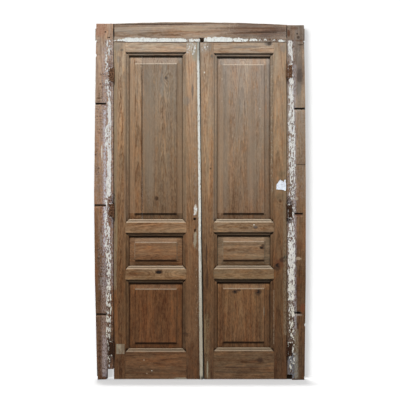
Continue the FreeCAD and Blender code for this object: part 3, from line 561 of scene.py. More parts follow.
def agedMember(node, material, axis, bites=(), shaped=None, arris=wear["arris"]):
    mesh = weldedCopy(node)
    low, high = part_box(node)
    longEdges = []
    for edge in mesh.edges:
        if len(edge.link_faces) != 2 or edge.calc_length() < 0.02:
            continue
        hidden = all(wear["hidden"][0] < v.co.y < wear["hidden"][1] for v in edge.verts)
        if not hidden and edge.calc_face_angle_signed(0) > math.radians(40):
            longEdges.append(edge)
    bmesh.ops.bevel(
        mesh, geom=longEdges, offset=arris, offset_type="OFFSET", segments=2, profile=0.5,
        affect="EDGES", clamp_overlap=False,
    )
    length = high[axis] - low[axis]
    count = max(1, round(length / wear["step"]))
    places = [low[axis] + length * k / count for k in range(1, count)]
    for bitten in bites:  # finer cuts where a corner is bitten out
        places += [bitten["at"][axis] + bitten["reach"] * k / 3 for k in range(-3, 4)]
    cutAlong(mesh, axis, sorted(p for p in places if low[axis] + 0.001 < p < high[axis] - 0.001))
    middle, half = (low + high) / 2, (high - low) / 2
    for vertex in mesh.verts:
        point = vertex.co.copy()
        out = Vector([(point[k] - middle[k]) / half[k] for k in range(3)])
        rim = [k for k in range(3) if abs(out[k]) > wear["rim"] and k != axis]
        wander = noise.noise(point * 7 + Vector((0, 0, middle.x * 5)))
        for k in rim:
            inward = wear["waver"] * (0.5 + 0.5 * wander)
            if len(rim) > 1:
                inward += wear["chip"] * max(0.0, noise.noise(point * 31) - 0.32) * 2
            vertex.co[k] -= math.copysign(inward, out[k])
        for bitten in bites:
            x, y, z = bitten["at"]
            away = Vector((point.x - x, 0, point.z - z)).length / bitten["reach"]
            if away < 1 and point.y < 0:
                vertex.co += bitten["toward"] * (bitten["depth"] * (1 - away * away))
    if shaped:
        shaped(mesh, low, high)
    for vertex in mesh.verts:
        if joint["reach"][0] < vertex.co.x < joint["reach"][1]:
            vertex.co.x += leanAt(vertex.co.z)
    piece = finishMesh("aged_" + node, mesh, material)
    piece.modifiers.new("evenNormals", "WEIGHTED_NORMAL").keep_sharp = True
    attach(piece, bodyOf(node))
    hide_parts(node)
    return piece


# what some members have lost or taken on beside that

def openQuirk(mesh, low, high):  # the quirk beside the bead is worn wide low down
    lip, step, corner, edge = joint["lip"], joint["step"], joint["corner"], joint["lipEdge"]
    wide, narrow = joint["quirkWall"]
    for vertex in mesh.verts:
        x, y, z = vertex.co
        tight = between(z, *joint["worn"])
        wall = wide * (1 - tight) + narrow * tight + 0.0006 * noise.noise(vertex.co * 9)
        if x < joint["reach"][1] and y < joint["lipBack"]:
            if x > corner:
                vertex.co.x = x + (wall - corner)
            else:
                vertex.co.x = edge + (x - lip) * (wall - edge) / (corner - lip)
        elif x < step + 0.0006 and joint["lipBack"] <= y < joint["stepBack"]:
            vertex.co.x = min(x, edge + (x - lip) * (step - edge) / (step - lip))
            vertex.co.y -= 0.0012


def lappedEdge(mesh, low, high):  # the stile's front edge runs on behind the other leaf's lip
    cutAlong(mesh, 1, joint["lapCuts"])
    edge, depth = joint["lapFrom"]
    for vertex in mesh.verts:
        if vertex.co.x > edge and vertex.co.y < depth:
            vertex.co.x += joint["lap"]


jambBows = {  # height, and how far the outer edge stands to the right there
    "left": ((2.40, 0.008), (1.9, 0.001), (1.25, -0.007), (0.7, -0.002), (0.0, 0.014)),
    "right": ((2.40, -0.007), (1.9, 0.002), (1.25, 0.006), (0.7, 0.006), (0.0, -0.002)),
}


def bowedJamb(mesh, low, high):
    bows = jambBows["left" if low.x < 0 else "right"]
    for vertex in mesh.verts:
        bow = readAt(bows, vertex.co.z)
        if bow:
            vertex.co.x += between(abs(vertex.co.x), *wear["bowed"]) * bow[0]


def waneyTop(mesh, low, high):
    start, depth = wear["wane"]
    for vertex in mesh.verts:
        if vertex.co.z > start:
            swing = noise.fractal(Vector((vertex.co.x * 9, vertex.co.y * 12, 1.7)), 1.0, 2.0, 4)
            vertex.co.z -= depth * (0.6 + 0.6 * swing)


# what each member is cut from: a mark is x, z, width, height and kind

lilac, stonePaint, oliveGrey = (166, 156, 156), (150, 140, 128), (134, 124, 102)
leftFoot = wash((-0.585, -0.014), (-0.02, 0.007), (150, 140, 118), 0.56, 0.8, 0.003)
rightFoot = wash((0.02, 0.585), (-0.02, 0.006), (140, 130, 108), 0.5, 0.7, 0.003)
members = {
    "left_jamb": dict(
        shaped=bowedJamb, tint=(1.07, 1.03, 1.05), board=1.3, pith=(-0.7, 0.16, 0.01), patina=0.6,
        figure=0.6, sawn=1.0,
        marks=[
            (-0.636, 2.32, 0.01, 0.009, "dark"), (-0.613, 2.283, 0.01, 0.01, "dark"),
            # the black marks at the notches' saw cuts, at 1.843, 1.166 and 0.439, are painted shadow
            (-0.69, 2.262, 0.01, 0.012, "white"), (-0.665, 1.843, 0.08, 0.01, "black"),
            (-0.665, 1.166, 0.08, 0.01, "black"), (-0.665, 0.439, 0.08, 0.01, "black"),
            (-0.645, 1.83, 0.04, 0.016, "rust"), (-0.64, 1.15, 0.05, 0.02, "rust"),
            (-0.697, 2.165, 0.012, 0.02, "dark"), (-0.698, 2.255, 0.01, 0.014, "dark"),
            (-0.699, 1.98, 0.01, 0.02, "white"), (-0.5775, 2.32, 0.006, 0.13, "black"),
            (-0.596, 2.04, 0.04, 0.2, "rust"), (-0.59, 1.13, 0.048, 0.2, "rust"),
            (-0.598, 0.215, 0.052, 0.2, "dark"), (-0.655, 1.52, 0.01, 0.1, "white"),
            (-0.66, 0.93, 0.014, 0.1, "grey"), (-0.66, 0.66, 0.016, 0.06, "grey"),
            (-0.6, 0.69, 0.03, 0.05, "rust"), (-0.598, 0.55, 0.02, 0.08, "rust"),
            (-0.594, 0.43, 0.02, 0.06, "rust"), (-0.67, 2.34, 0.1, 0.1, "blush"),
            (-0.584, 1.13, 0.012, 0.24, "black"), (-0.69, 0.06, 0.03, 0.08, "dark"),
            (-0.63, 0.09, 0.012, 0.12, "dark"),
        ],
        washes=[
            wash((-0.634, -0.577), (0.6, 2.27), lilac, 0.5, 0.6, 0.006, pits=0.85),
            wash((-0.626, -0.577), (0.02, 0.6), (138, 128, 122), 0.44, 0.55, 0.006, pits=0.95),
            wash((-0.652, -0.626), (0.55, 2.22), (176, 170, 174), 0.5, 0.65, 0.01),
            wash((-0.643, -0.628), (0.86, 1.8), (196, 196, 208), 0.52, 0.8, 0.004),
            wash((-0.65, -0.624), (0.02, 0.3), (160, 154, 160), 0.52, 0.7, 0.006),
            wash((-0.705, -0.64), (1.15, 1.86), (160, 150, 146), 0.5, 0.38, 0.02),
            wash((-0.68, -0.645), (0.6, 1.1), (150, 144, 142), 0.46, 0.5, 0.012),
            wash((-0.656, -0.618), (0.05, 0.62), (160, 144, 136), 0.53, 0.6, 0.012),
            wash((-0.7, -0.65), (0.03, 0.55), (136, 116, 104), 0.45, 0.35, 0.012),
        ],
        bites=[
            bite((-0.7, -0.02, 2.165), 0.012, 0.005, (1, 0.4, 0)),
            bite((-0.7, -0.02, 2.255), 0.008, 0.003, (1, 0.3, 0)),
            bite((-0.699, -0.02, 0.012), 0.016, 0.008, (0.7, 0, 0.7)),
            bite((-0.621, -0.02, 0.01), 0.016, 0.01, (-0.7, 0, 0.7)),
        ],
    ),
    "right_jamb": dict(
        shaped=bowedJamb, tint=(0.88, 0.92, 0.96), board=2.7, pith=(0.64, 0.12, -0.02), patina=0.9,
        figure=0.9, sawn=0.4,
        marks=[
            (0.64, 2.3, 0.16, 0.22, "dim"), (0.655, 2.285, 0.022, 0.02, "dark"),
            # the black marks at the notches' saw cuts, at 1.81, 1.109 and 0.449, are painted shadow
            (0.65, 2.05, 0.1, 0.3, "dim"), (0.66, 1.81, 0.09, 0.012, "black"),
            (0.65, 1.109, 0.055, 0.012, "black"), (0.65, 0.449, 0.062, 0.018, "black"),
            (0.655, 1.1, 0.045, 0.02, "rust"), (0.694, 2.252, 0.014, 0.018, "dark"),
            (0.672, 2.235, 0.04, 0.01, "dark"), (0.655, 1.8, 0.03, 0.016, "grey"),
            (0.6, 2.19, 0.05, 0.1, "grey"), (0.658, 2.262, 0.05, 0.012, "brown"),
            (0.59, 2.045, 0.04, 0.16, "rust"), (0.592, 1.13, 0.05, 0.19, "black"),
            (0.596, 0.215, 0.05, 0.17, "dark"), (0.684, 0.48, 0.034, 0.06, "ember"),
            (0.655, 0.434, 0.07, 0.01, "grey"), (0.64, 0.42, 0.012, 0.18, "grey"),
            (0.6, 0.24, 0.014, 0.06, "rust"), (0.63, 2.345, 0.05, 0.02, "brown"),
            (0.592, 2.31, 0.02, 0.05, "rust"), (0.66, 1.95, 0.03, 0.1, "grey"),
            (0.655, 0.81, 0.04, 0.02, "pale"), (0.665, 2.03, 0.05, 0.1, "dim"),
            (0.64, 1.21, 0.03, 0.02, "pale"), (0.655, 0.9, 0.06, 0.06, "brown"),
            (0.66, 0.66, 0.05, 0.05, "brown"),
        ],
        washes=[
            wash((0.581, 0.634), (0.62, 2.27), lilac, 0.49, 0.6, 0.006, pits=0.9),
            wash((0.581, 0.64), (0.16, 0.62), (140, 126, 116), 0.47, 0.6, 0.006, pits=1.0),
            wash((0.622, 0.642), (0.3, 2.1), (170, 166, 172), 0.52, 0.6, 0.008),
            wash((0.585, 0.65), (0.01, 0.18), (118, 124, 132), 0.52, 0.8, 0.008, pits=1.0),
            wash((0.63, 0.656), (0.01, 0.34), (134, 124, 104), 0.53, 0.7, 0.006),
            wash((0.64, 0.7), (1.2, 1.8), (158, 146, 140), 0.48, 0.36, 0.02),
        ],
        bites=[
            bite((0.7, -0.02, 2.262), 0.012, 0.007, (-1, 0.3, 0)),
            bite((0.699, -0.02, 0.012), 0.016, 0.004, (-0.7, 0, 0.7)),
            bite((0.7, -0.02, 0.368), 0.012, 0.006, (-1, 0.3, 0)),
        ],
    ),
    "frame_head": dict(
        shaped=waneyTop, tint=(0.92, 0.94, 0.98), board=3.9, pith=(2.3, 0.09, 0.02), patina=0.6, figure=1.7,
        marks=[
            (-0.3, 2.372, 0.56, 0.012, "dark"), (0.02, 2.379, 0.34, 0.008, "brown"),
            (0.4, 2.335, 0.44, 0.13, "dim"), (0.5, 2.3, 0.24, 0.12, "dim"),
            (0.3, 2.345, 0.4, 0.014, "brown"), (0.42, 2.318, 0.22, 0.01, "dark"),
            (-0.574, 2.32, 0.008, 0.13, "black"), (0.578, 2.32, 0.006, 0.12, "black"),
            (-0.2, 2.3, 0.16, 0.012, "brown"), (0.3, 2.312, 0.26, 0.008, "brown"),
            (-0.05, 2.335, 0.2, 0.02, "pale"), (0.47, 2.268, 0.14, 0.022, "brown"),
            (-0.5, 2.293, 0.1, 0.008, "brown"),
        ],
        washes=[wash((-0.575, 0.577), (2.25, 2.287), stonePaint, 0.5, 0.7, 0.006)],
    ),
    "left_hinge_stile": dict(
        tint=(1.02, 1.0, 0.95), board=5.1, pith=(-0.5, 0.13, 0.02), patina=0.55,
        flecks=(-0.524, 0.012, 1.0), knots=[(-0.53, 0.52, 0.006)],
        marks=[
            (-0.553, 2.215, 0.05, 0.045, "grey"), (-0.52, 2.2, 0.02, 0.016, "slate"),
            (-0.545, 2.14, 0.02, 0.05, "grey"), (-0.555, 1.0, 0.012, 0.3, "olive"),
            (-0.573, 1.17, 0.014, 0.3, "black"), (-0.574, 2.06, 0.008, 0.24, "dark"),
            (-0.572, 0.22, 0.014, 0.3, "dark"),
        ],
        washes=[
            wash((-0.582, -0.556), (0.6, 2.27), oliveGrey, 0.56, 0.6, 0.006),
            wash((-0.582, -0.5), (2.225, 2.27), stonePaint, 0.5, 0.8, 0.008),
            wash((-0.507, -0.472), (1.06, 2.17), (116, 102, 88), 0.62, 0.42, 0.002, reach=-0.025), leftFoot,
        ],
    ),
    "left_meeting_stile": dict(
        shaped=lappedEdge, tint=(0.98, 0.97, 0.96), board=6.3, pith=(-0.1, 0.1, 0.015), patina=0.45,
        knots=[(-0.085, 0.3, 0.01)],
        marks=[
            (-0.031, 1.135, 0.018, 0.07, "white"), (-0.034, 0.935, 0.022, 0.1, "residue"),
            (-0.028, 0.972, 0.014, 0.03, "residue"), (-0.0353, 1.0745, 0.019, 0.017, "black"),
            (-0.0333, 0.998, 0.013, 0.02, "black"), (-0.046, 0.94, 0.012, 0.05, "rust"),
            (-0.078, 2.234, 0.012, 0.012, "dark"), (-0.09, 1.86, 0.05, 0.06, "grey"),
            (-0.1, 0.31, 0.06, 0.014, "dark"), (-0.034, 2.18, 0.05, 0.1, "residue"),
            (-0.05, 1.93, 0.016, 0.1, "slate"),
        ],
        washes=[
            wash((-0.1, -0.012), (2.19, 2.27), (178, 172, 158), 0.54, 0.85, 0.02),
            wash((-0.034, -0.012), (0.3, 1.02), (138, 126, 106), 0.42, 0.7, 0.006),
            wash((-0.042, -0.014), (1.08, 2.2), stonePaint, 0.45, 0.6, 0.006),
            wash((-0.117, -0.089), (1.06, 2.17), (150, 132, 108), 0.6, 0.5, 0.002, reach=-0.025),
            wash((-0.088, -0.02), (0.25, 1.0), (136, 106, 78), 0.6, 0.25, 0.02), leftFoot,
        ],
    ),
    "left_top_rail": dict(
        tint=(1.1, 1.13, 1.15), board=7.7, pith=(2.22, 0.1, 0.03), patina=0.3, figure=0.5,
        marks=[(-0.12, 2.235, 0.04, 0.02, "grey")],
    ),
    "left_lock_rail": dict(
        tint=(1.38, 1.5, 1.58), board=8.9, pith=(1.0, 0.08, 0.05), patina=0.4, figure=1.2,
    ),
    "left_frieze_rail": dict(
        tint=(1.68, 1.95, 2.2), board=10.2, pith=(0.71, 0.07, 0.06), patina=0.5, figure=1.2,
        knots=[(-0.273, 0.72, 0.019)],
        marks=[
            (-0.275, 0.719, 0.054, 0.026, "dark"), (-0.274, 0.718, 0.036, 0.02, "black"),
            (-0.45, 0.7, 0.08, 0.02, "brown"),
        ],
    ),
    "left_bottom_rail": dict(
        tint=(1.14, 1.14, 1.12), board=11.4, pith=(0.12, 0.12, 0.03), patina=0.3, figure=1.1,
        marks=[
            (-0.25, 0.1, 0.1, 0.012, "brown"), (-0.4, 0.05, 0.12, 0.01, "brown"),
            (-0.12, 0.012, 0.12, 0.008, "residue"), (-0.3735, 0.133, 0.008, 0.009, "pale"),
            (-0.321, 0.062, 0.007, 0.006, "white"), (-0.354, 0.043, 0.006, 0.01, "pale"),
            (-0.404, 0.0865, 0.01, 0.01, "dark"),
        ],
        washes=[leftFoot],
    ),
    "left_upper_panel_narrow_board": dict(
        tint=(0.83, 0.82, 0.8), board=12.6, pith=(-0.42, 0.1, 0.02), patina=0.4, flecks=(-0.43, 0.012, 0.8),
        marks=[(-0.388, 1.6, 0.006, 1.2, "dark")],
    ),
    "left_upper_panel_wide_board": dict(
        tint=(0.71, 0.75, 0.79), board=13.8, pith=(-0.25, 0.05, 0.028), patina=0.55,
        flecks=(-0.255, 0.01, 1.0), knots=[(-0.287, 1.21, 0.008), (-0.227, 2.014, 0.009)],
        marks=[
            (-0.255, 1.98, 0.03, 0.17, "grey"), (-0.227, 2.014, 0.02, 0.02, "slate"),
            (-0.335, 1.62, 0.08, 0.9, "haze"), (-0.289, 1.21, 0.026, 0.03, "dark"),
            (-0.283, 1.172, 0.012, 0.05, "brown"),
        ],
    ),
    "left_middle_panel": dict(
        tint=(1.06, 1.04, 1.06), board=15.1, pith=(0.86, 0.06, 0.05), patina=0.3, figure=1.2,
    ),
    "left_lower_panel": dict(
        tint=(1.07, 0.92, 0.8), board=16.5, pith=(-0.24, 0.06, 0.05), patina=0.2,
        flecks=(-0.275, 0.014, 0.9),
        marks=[(-0.3, 0.45, 0.02, 0.1, "brown")],
    ),
    "right_hinge_stile": dict(
        tint=(0.88, 0.87, 0.84), board=17.9, pith=(0.52, 0.12, 0.02), patina=0.45,
        knots=[(0.533, 1.194, 0.009)],
        marks=[
            (0.514, 0.752, 0.048, 0.052, "dark"), (0.534, 0.78, 0.075, 0.06, "rust"),
            (0.52, 0.765, 0.03, 0.03, "black"), (0.552, 0.802, 0.048, 0.036, "dark"),
            (0.568, 0.82, 0.026, 0.024, "black"), (0.545, 0.768, 0.05, 0.03, "brown"),
            (0.54, 1.372, 0.05, 0.045, "moss"), (0.535, 1.222, 0.06, 0.05, "moss"),
            (0.553, 2.21, 0.04, 0.05, "grey"), (0.545, 1.3, 0.075, 0.09, "moss"),
            (0.578, 1.12, 0.012, 0.22, "dark"), (0.578, 2.05, 0.01, 0.2, "dark"),
            (0.578, 0.2, 0.012, 0.22, "dark"),
        ],
        washes=[
            wash((0.556, 0.584), (0.3, 2.27), oliveGrey, 0.52, 0.55, 0.006),
            wash((0.47, 0.486), (1.25, 2.1), (184, 178, 162), 0.46, 0.75, 0.003, reach=-0.025),
            wash((0.5, 0.584), (2.22, 2.27), stonePaint, 0.5, 0.7, 0.008),
            wash((0.487, 0.496), (0.24, 0.6), (138, 124, 104), 0.52, 0.5, 0.002, reach=-0.025),
        ],
    ),
    "right_meeting_stile": dict(
        shaped=openQuirk, tint=(0.94, 0.95, 0.95), board=19.2, pith=(0.05, 0.1, -0.02), patina=0.5,
        marks=[
            (0.05, 0.07, 0.01, 0.12, "residue"), (0.034, 0.3, 0.008, 0.2, "olive"),
            (0.044, 0.84, 0.012, 0.15, "dark"), (0.048, 0.68, 0.012, 0.16, "dark"),
            (0.06, 2.22, 0.04, 0.06, "grey"), (0.078, 2.16, 0.02, 0.02, "slate"),
            (0.03, 2.05, 0.008, 0.012, "white"), (0.07, 1.41, 0.012, 0.012, "dark"),
            (0.05, 0.3, 0.03, 0.05, "brown"),
        ],
        washes=[
            wash((0.026, 0.064), (-0.1, 0.44), (122, 108, 80), 0.49, 0.55, 0.012),
            wash((0.02, 0.05), (0.44, 0.92), (58, 42, 30), 0.45, 0.6, 0.014),
            # near-black painted shade in the quirk of the meeting joint
            wash((-0.02, 0.05), (-0.1, 2.3), (9, 7, 5), 2.0, 1.0, 0.0015, deep=True),
            wash((0.088, 0.117), (1.06, 2.16), (128, 122, 112), 0.56, 0.5, 0.002, reach=-0.025),
            wash((0.0, 0.05), (2.18, 2.27), (182, 176, 164), 0.5, 0.8, 0.02),
        ],
    ),
    "right_top_rail": dict(
        tint=(1.08, 1.13, 1.17), board=20.4, pith=(2.2, 0.1, 0.02), patina=0.4, figure=0.5,
        marks=[
            (0.457, 2.242, 0.055, 0.034, "slate"), (0.462, 2.243, 0.026, 0.02, "dark"),
            (0.3, 2.22, 0.2, 0.02, "grey"),
        ],
    ),
    "right_lock_rail": dict(
        tint=(1.24, 1.44, 1.62), board=21.7, pith=(1.02, 0.08, 0.05), patina=0.6, figure=1.2,
        knots=[(0.37, 1.02, 0.011)],
        marks=[(0.36, 1.035, 0.008, 0.01, "white"), (0.37, 1.02, 0.03, 0.02, "slate")],
    ),
    "right_frieze_rail": dict(
        tint=(1.28, 1.58, 1.85), board=22.8, pith=(0.7, 0.07, 0.05), patina=0.5, figure=1.2,
    ),
    "right_bottom_rail": dict(
        tint=(1.24, 1.38, 1.45), board=24.1, pith=(0.1, 0.07, 0.06), patina=0.4, figure=1.1,
        knots=[(0.4, 0.133, 0.012)],
        marks=[
            (0.4, 0.133, 0.046, 0.034, "dark"), (0.36, 0.121, 0.07, 0.012, "brown"),
            (0.27, 0.085, 0.3, 0.007, "dark"), (0.3, 0.052, 0.36, 0.006, "dark"),
        ],
        washes=[rightFoot],
    ),
    "right_upper_panel": dict(
        tint=(0.86, 0.91, 1.0), board=25.3, pith=(0.28, 0.05, 0.03), patina=0.7, figure=0.6,
        marks=[
            (0.147, 2.008, 0.005, 0.006, "white"), (0.147, 1.861, 0.005, 0.006, "white"),
            (0.4, 1.808, 0.005, 0.006, "white"), (0.25, 1.75, 0.03, 0.3, "haze"),
            (0.34, 1.55, 0.06, 0.8, "haze"), (0.168, 1.6, 0.05, 1.0, "haze"),
        ],
    ),
    "right_middle_panel": dict(
        tint=(1.2, 1.38, 1.58), board=26.7, pith=(0.86, 0.06, 0.05), patina=0.5, figure=1.1,
        marks=[
            (0.413, 0.882, 0.04, 0.026, "dark"), (0.411, 0.881, 0.02, 0.014, "black"),
            (0.42, 0.896, 0.026, 0.016, "dark"),
        ],
    ),
    "right_lower_panel": dict(
        tint=(1.22, 1.22, 1.2), board=28.2, pith=(0.27, 0.05, 0.05), patina=0.3, figure=1.1,
        marks=[
            (0.233, 0.588, 0.038, 0.03, "dark"), (0.257, 0.598, 0.036, 0.014, "dark"),
            (0.387, 0.584, 0.046, 0.046, "dark"), (0.233, 0.588, 0.018, 0.016, "black"),
            (0.388, 0.589, 0.02, 0.024, "black"), (0.365, 0.592, 0.04, 0.016, "brown"),
            (0.427, 0.46, 0.005, 0.07, "residue"), (0.237, 0.5, 0.01, 0.05, "rust"),
            (0.256, 0.46, 0.008, 0.07, "brown"), (0.326, 0.415, 0.016, 0.024, "brown"),
            (0.464, 0.535, 0.01, 0.07, "dark"),
        ],
        washes=[wash((0.442, 0.472), (0.24, 0.6), (66, 48, 34), 0.62, 0.5, 0.003, deep=True)],
    ),
}

mouldingShading = {  # painted light and shade round the panels: pale old paint with painted highlights on the ledges and bevels, painted shadow under the rails' mouldings and along the panels
    "width": 0.025,
    "inGroove": 0.011,
    "bevel": 0.040,
    "tallBevel": 0.054,
    # dirt and black are the colours of the painted shadow lines
    "dirt": (30, 20, 13),
    "black": (22, 14, 9),
    "ledgePaintAndHighlight": {"lock": (176, 163, 143), "frieze": (162, 147, 128), "bottom": (139, 126, 107)},
    "quirk": (66, 52, 38),
    "ledgeFootShade": (70, 56, 42),
    "shadeUnder": {"top": 0.62, "lock": 0.86, "frieze": 0.88},
    "underTop": 0.0075,
    "longBevelLight": (160, 132, 104),
    "rim": {"middle": (158, 148, 128), "lower": (58, 42, 30)},
    "shadow": {"upper": 0.0125, "middle": 0.008, "lower": 0.008},
    "slope": {"upper": (170, 152, 136), "middle": (134, 118, 98), "lower": (116, 102, 84)},
    "slopeShare": {"board": 0.5, "whole": 0.24},
    "brow": {"upper": (184, 174, 158), "middle": (172, 156, 136), "lower": (156, 142, 122)},
    # painted shade on side bevels
    "duskyBevel": (84, 76, 62),
    "darkBevel": (60, 46, 34),
}


# a strip in the mouldings, for old paint and for painted light and shade
def line(x, z, colour, patch, strength):
    return wash(sorted(x), sorted(z), colour, patch, strength, 0.0015, deep=True)


def railShading(node, kind):
    low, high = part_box(node)
    look = mouldingShading
    x, foot, lines = (low.x, high.x), high.z - look["width"], []
    if kind in look["ledgePaintAndHighlight"]:
        # pale old paint with a painted highlight on the ledge, painted shade in its quirk and at its foot
        lines = [
            line(x, (foot + 0.001, high.z + 0.002), look["ledgePaintAndHighlight"][kind], 0.62, 0.58),
            line(x, (high.z - 0.0135, high.z - 0.0075), look["quirk"], 0.7, 0.6),
            line(x, (foot - 0.003, foot + 0.003), look["ledgeFootShade"], 0.6, 0.35),
        ]
    # painted shadow under the rail's moulding
    if kind in look["shadeUnder"]:
        start = low.z + (look["underTop"] if kind == "top" else 0.0)
        lines.append(line(x, (start, low.z + look["width"]), look["dirt"], everywhere, look["shadeUnder"][kind]))
    if kind == "frieze":
        # a darker painted shadow line along the frieze rail's lower edge
        lines.append(line(x, (low.z, low.z + 0.007), look["black"], everywhere, 0.8))
    return lines


def panelShading(node, kind):
    low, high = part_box(node)
    look = mouldingShading
    groove, rim = look["inGroove"], look["inGroove"] + look["bevel"]
    edge, foot = high.z - groove, low.z + rim
    brow = edge - look["tallBevel" if kind == "upper" else "bevel"]
    left = low.x + (0.0 if "wide" in node else rim)
    right = high.x - (0.0 if "narrow" in node else rim)
    shadow = edge - look["shadow"][kind]
    slopeShare = look["slopeShare"]["board" if "board" in node else "whole"]
    # painted highlight on the top bevel and along the field's top edge, painted shadow under the moulding
    # and under the field's lower edge
    lines = [
        line((left, right), (brow, shadow), look["slope"][kind], 0.56, slopeShare),
        line((left, right), (brow - 0.004, brow + 0.003), look["brow"][kind], 0.58, 0.62),
        line((low.x, high.x), (shadow, edge + 0.003), look["black"], everywhere, 0.85),
        line((left, right), (foot - 0.014, foot), look["dirt"], everywhere, 0.82),
    ]
    if kind == "upper":  # painted light on a long bevel
        bevel = (right, high.x - 0.012) if "wide" in node else (low.x + 0.012, left)
        lines.append(line(bevel, (foot, brow), look["longBevelLight"], everywhere, 0.38))
    else:
        # painted shade along the panel's edges in the groove, and a painted highlight or painted shade at
        # the field's sides
        for outer, inner, way in ((low.x + groove, left, 1), (high.x - groove, right, -1)):
            outerLine, innerLine = (outer - 0.002 * way, outer + 0.004 * way), (inner - 0.004 * way, inner)
            lines.append(line(outerLine, (low.z, high.z), look["dirt"], 0.62, 0.6))
            lines.append(line(innerLine, (foot, brow), look["rim"][kind], 0.58, 0.4))
            if node == "right_middle_panel":
                # painted shade on the side bevels
                bevel = (low.z + 0.02, high.z - 0.02)
                lines.append(line((outer, inner), bevel, look["duskyBevel"], 0.6, 0.5))
    # painted shade on the bevel to the right of the field
    if "narrow" not in node:
        lines.append(line((right, right + 0.009), (foot, brow), look["darkBevel"], 0.7, 0.3))
    return lines


def mouldingShadingLines(node):
    kind = node.split("_")[1]
    return railShading(node, kind) if "rail" in node else panelShading(node, kind) if "panel" in node else []


for node, plan in members.items():
    bites, shaped = plan.pop("bites", ()), plan.pop("shaped", None)
    washes = plan.pop("washes", []) + mouldingShadingLines(node)
    across = "rail" in node or "middle_panel" in node or node == "frame_head"
    worked = 0.0 if "panel" in node else 0.75
    wood = pine("pine_" + node, across, washes=washes, worked=worked, **plan)
    agedMember(node, wood, 0 if across else 2, bites, shaped)
print("stage: wooden members")


# small wooden parts

beadLook = {
    "crown": (212, 213, 206),
    "flank": (134, 134, 122),
    "low": (160, 152, 134),
    "bare": (120, 92, 66),
    "dirt": (0.62, 0.6, 0.55),
    "grimeAndShade": (0.24, 0.22, 0.19),
    "quirkPaint": -0.0377,  # paint fills its left quirk to here
    "swell": 0.004,  # right of this its edge is worn back
}


def beadMaterial():
    material, s, surface = newMaterial("beadPaint")
    place = objectPlace(s)
    x, y, z = s.split(place)
    low, high = joint["straight"]
    lean = s.times(s.most(s.minus(z, high), 0.0), joint["leanAbove"])
    lean = s.timesPlus(s.most(s.minus(low, z), 0.0), -joint["leanBelow"], lean)
    beside = s.minus(x, lean)
    across = s.math("ABSOLUTE", s.plus(beside, s.fit(z, 1.1, 0.7, 0.0010, 0.0024)))
    across = s.swing(s.noise(place, (60.0, 60.0, 10.0), 3.0, 2.0), 0.006, across)
    crown, flank = shade(*beadLook["crown"]), shade(*beadLook["flank"])
    paint = s.mix(s.fit(z, 1.15, 0.3), crown, shade(*beadLook["low"]))
    paint = s.mix(s.fit(z, 2.08, 2.2, 0.0, 0.75), paint, flank)
    paint = s.mix(s.fit(across, 0.0068, 0.0100, 0.0, 0.8), paint, flank)
    dirt = s.noise(place, (90.0, 90.0, 16.0), 4.0, 5.0, 0.65)
    paint = s.dye(paint, s.fit(dirt, 0.48, 0.68, 0.0, 0.6), beadLook["dirt"])
    chipped = s.noise(place, (170.0, 170.0, 60.0), 3.0, 8.0, 0.6)
    chip = s.timesPlus(s.fit(across, 0.005, 0.010), s.fit(z, 1.1, 0.6, 0.12, 0.03), chipped)
    chip = s.fit(chip, 0.60, 0.64)
    # grime with painted shade in the corners beside the bead, from ambient occlusion
    grimeAndShade = s.times(s.fit(s.nook(0.012), 0.85, 0.4, 0.0, 0.8), s.fit(beside, -0.004, 0.004, 0.3, 1.0))
    colour = s.mix(s.times(chip, 0.85), paint, shade(*beadLook["bare"]))
    bare = s.times(s.fit(beside, -0.0096, -0.0106), s.fit(z, 0.35, 0.75, 0.0, 0.9))
    colour = s.mix(bare, colour, s.ramp(s.over(z, topOfDoor), pineHeights))
    colour = s.dye(colour, grimeAndShade, beadLook["grimeAndShade"])
    s.coat(surface, colour, s.fit(chip, 0.0, 1.0, 0.5, 0.8), s.timesPlus(chip, -0.8, dirt), 0.6, 0.0006)
    return material


def wornBead(mesh, low, high):
    start = beadLook["swell"]
    for vertex in mesh.verts:
        x, y, z = vertex.co
        if x < -0.0098 and -0.0374 < y < -0.034:
            vertex.co.y = beadLook["quirkPaint"] + 0.0003 * noise.noise(vertex.co * 30)
        if x > start:
            edge = joint["beadEdge"] + joint["lowBead"] * (1 - between(z, 0.7, 0.95))
            vertex.co.x = start + (x - start) * (edge - start) / (high.x - start)


def plainWood(name, tint, board, pith, figure, patina, marks=()):  # for small parts, with no mouldings
    look = dict(tint=tint, board=board, pith=pith, figure=figure, patina=patina, marks=marks)
    return pine(name, worked=0.0, **look)


bead = beadMaterial()
agedMember("left_meeting_bead", bead, 2, shaped=wornBead, arris=0.0006)
stains = [(-0.535, 0.19, 0.008, 0.03, "brown"), (-0.52, 0.175, 0.008, 0.02, "brown")]
repair = plainWood("repairPine", (2.2, 3.3, 4.6), 33.0, (-0.5, 0.2, 0.0), 0.5, 0.5, marks=stains)
agedMember("left_repair_block", repair, 2, arris=0.0008)
wedge = plainWood("wedgeWood", (0.8, 0.78, 0.75), 35.0, (0.0, 0.2, 0.0), 0.8, 0.6)
for side in ("left", "right"):
    agedMember(side + "_tenon_wedges", wedge, 0, arris=0.0003)
print("stage: bead, repair and wedges")


# old paint: thin flakes cut on a fine net, each skin one closed mesh

flakeLook = {
    "net": 0.0033,
    "flake": 0.0075,
    "thickness": 0.0006,
    "curl": 0.0007,
    "crack": 0.10,
    "stretch": 1.7,  # a flake is longer up the grain
    "face": -0.0380,  # the depth of the wood's front face
    "root": 0.0016,  # how far a flake reaches into the wood
}
jambLook = dict(flakeLook, net=0.0027, flake=0.0056, stretch=2.4)
stripLook = dict(flakeLook, flake=0.013, crack=0.04, stretch=1.2)
plateLook = dict(flakeLook, face=-0.0392)
labelLook = dict(flakeLook, net=0.0016, whole=True, thickness=0.0004, curl=0.0012)
paintLook = {
    "stain": (138, 112, 94),
    "cool": (178, 178, 188),
    "dot": (96, 66, 48),
    "fine": (0.6, 0.56, 0.5),
}


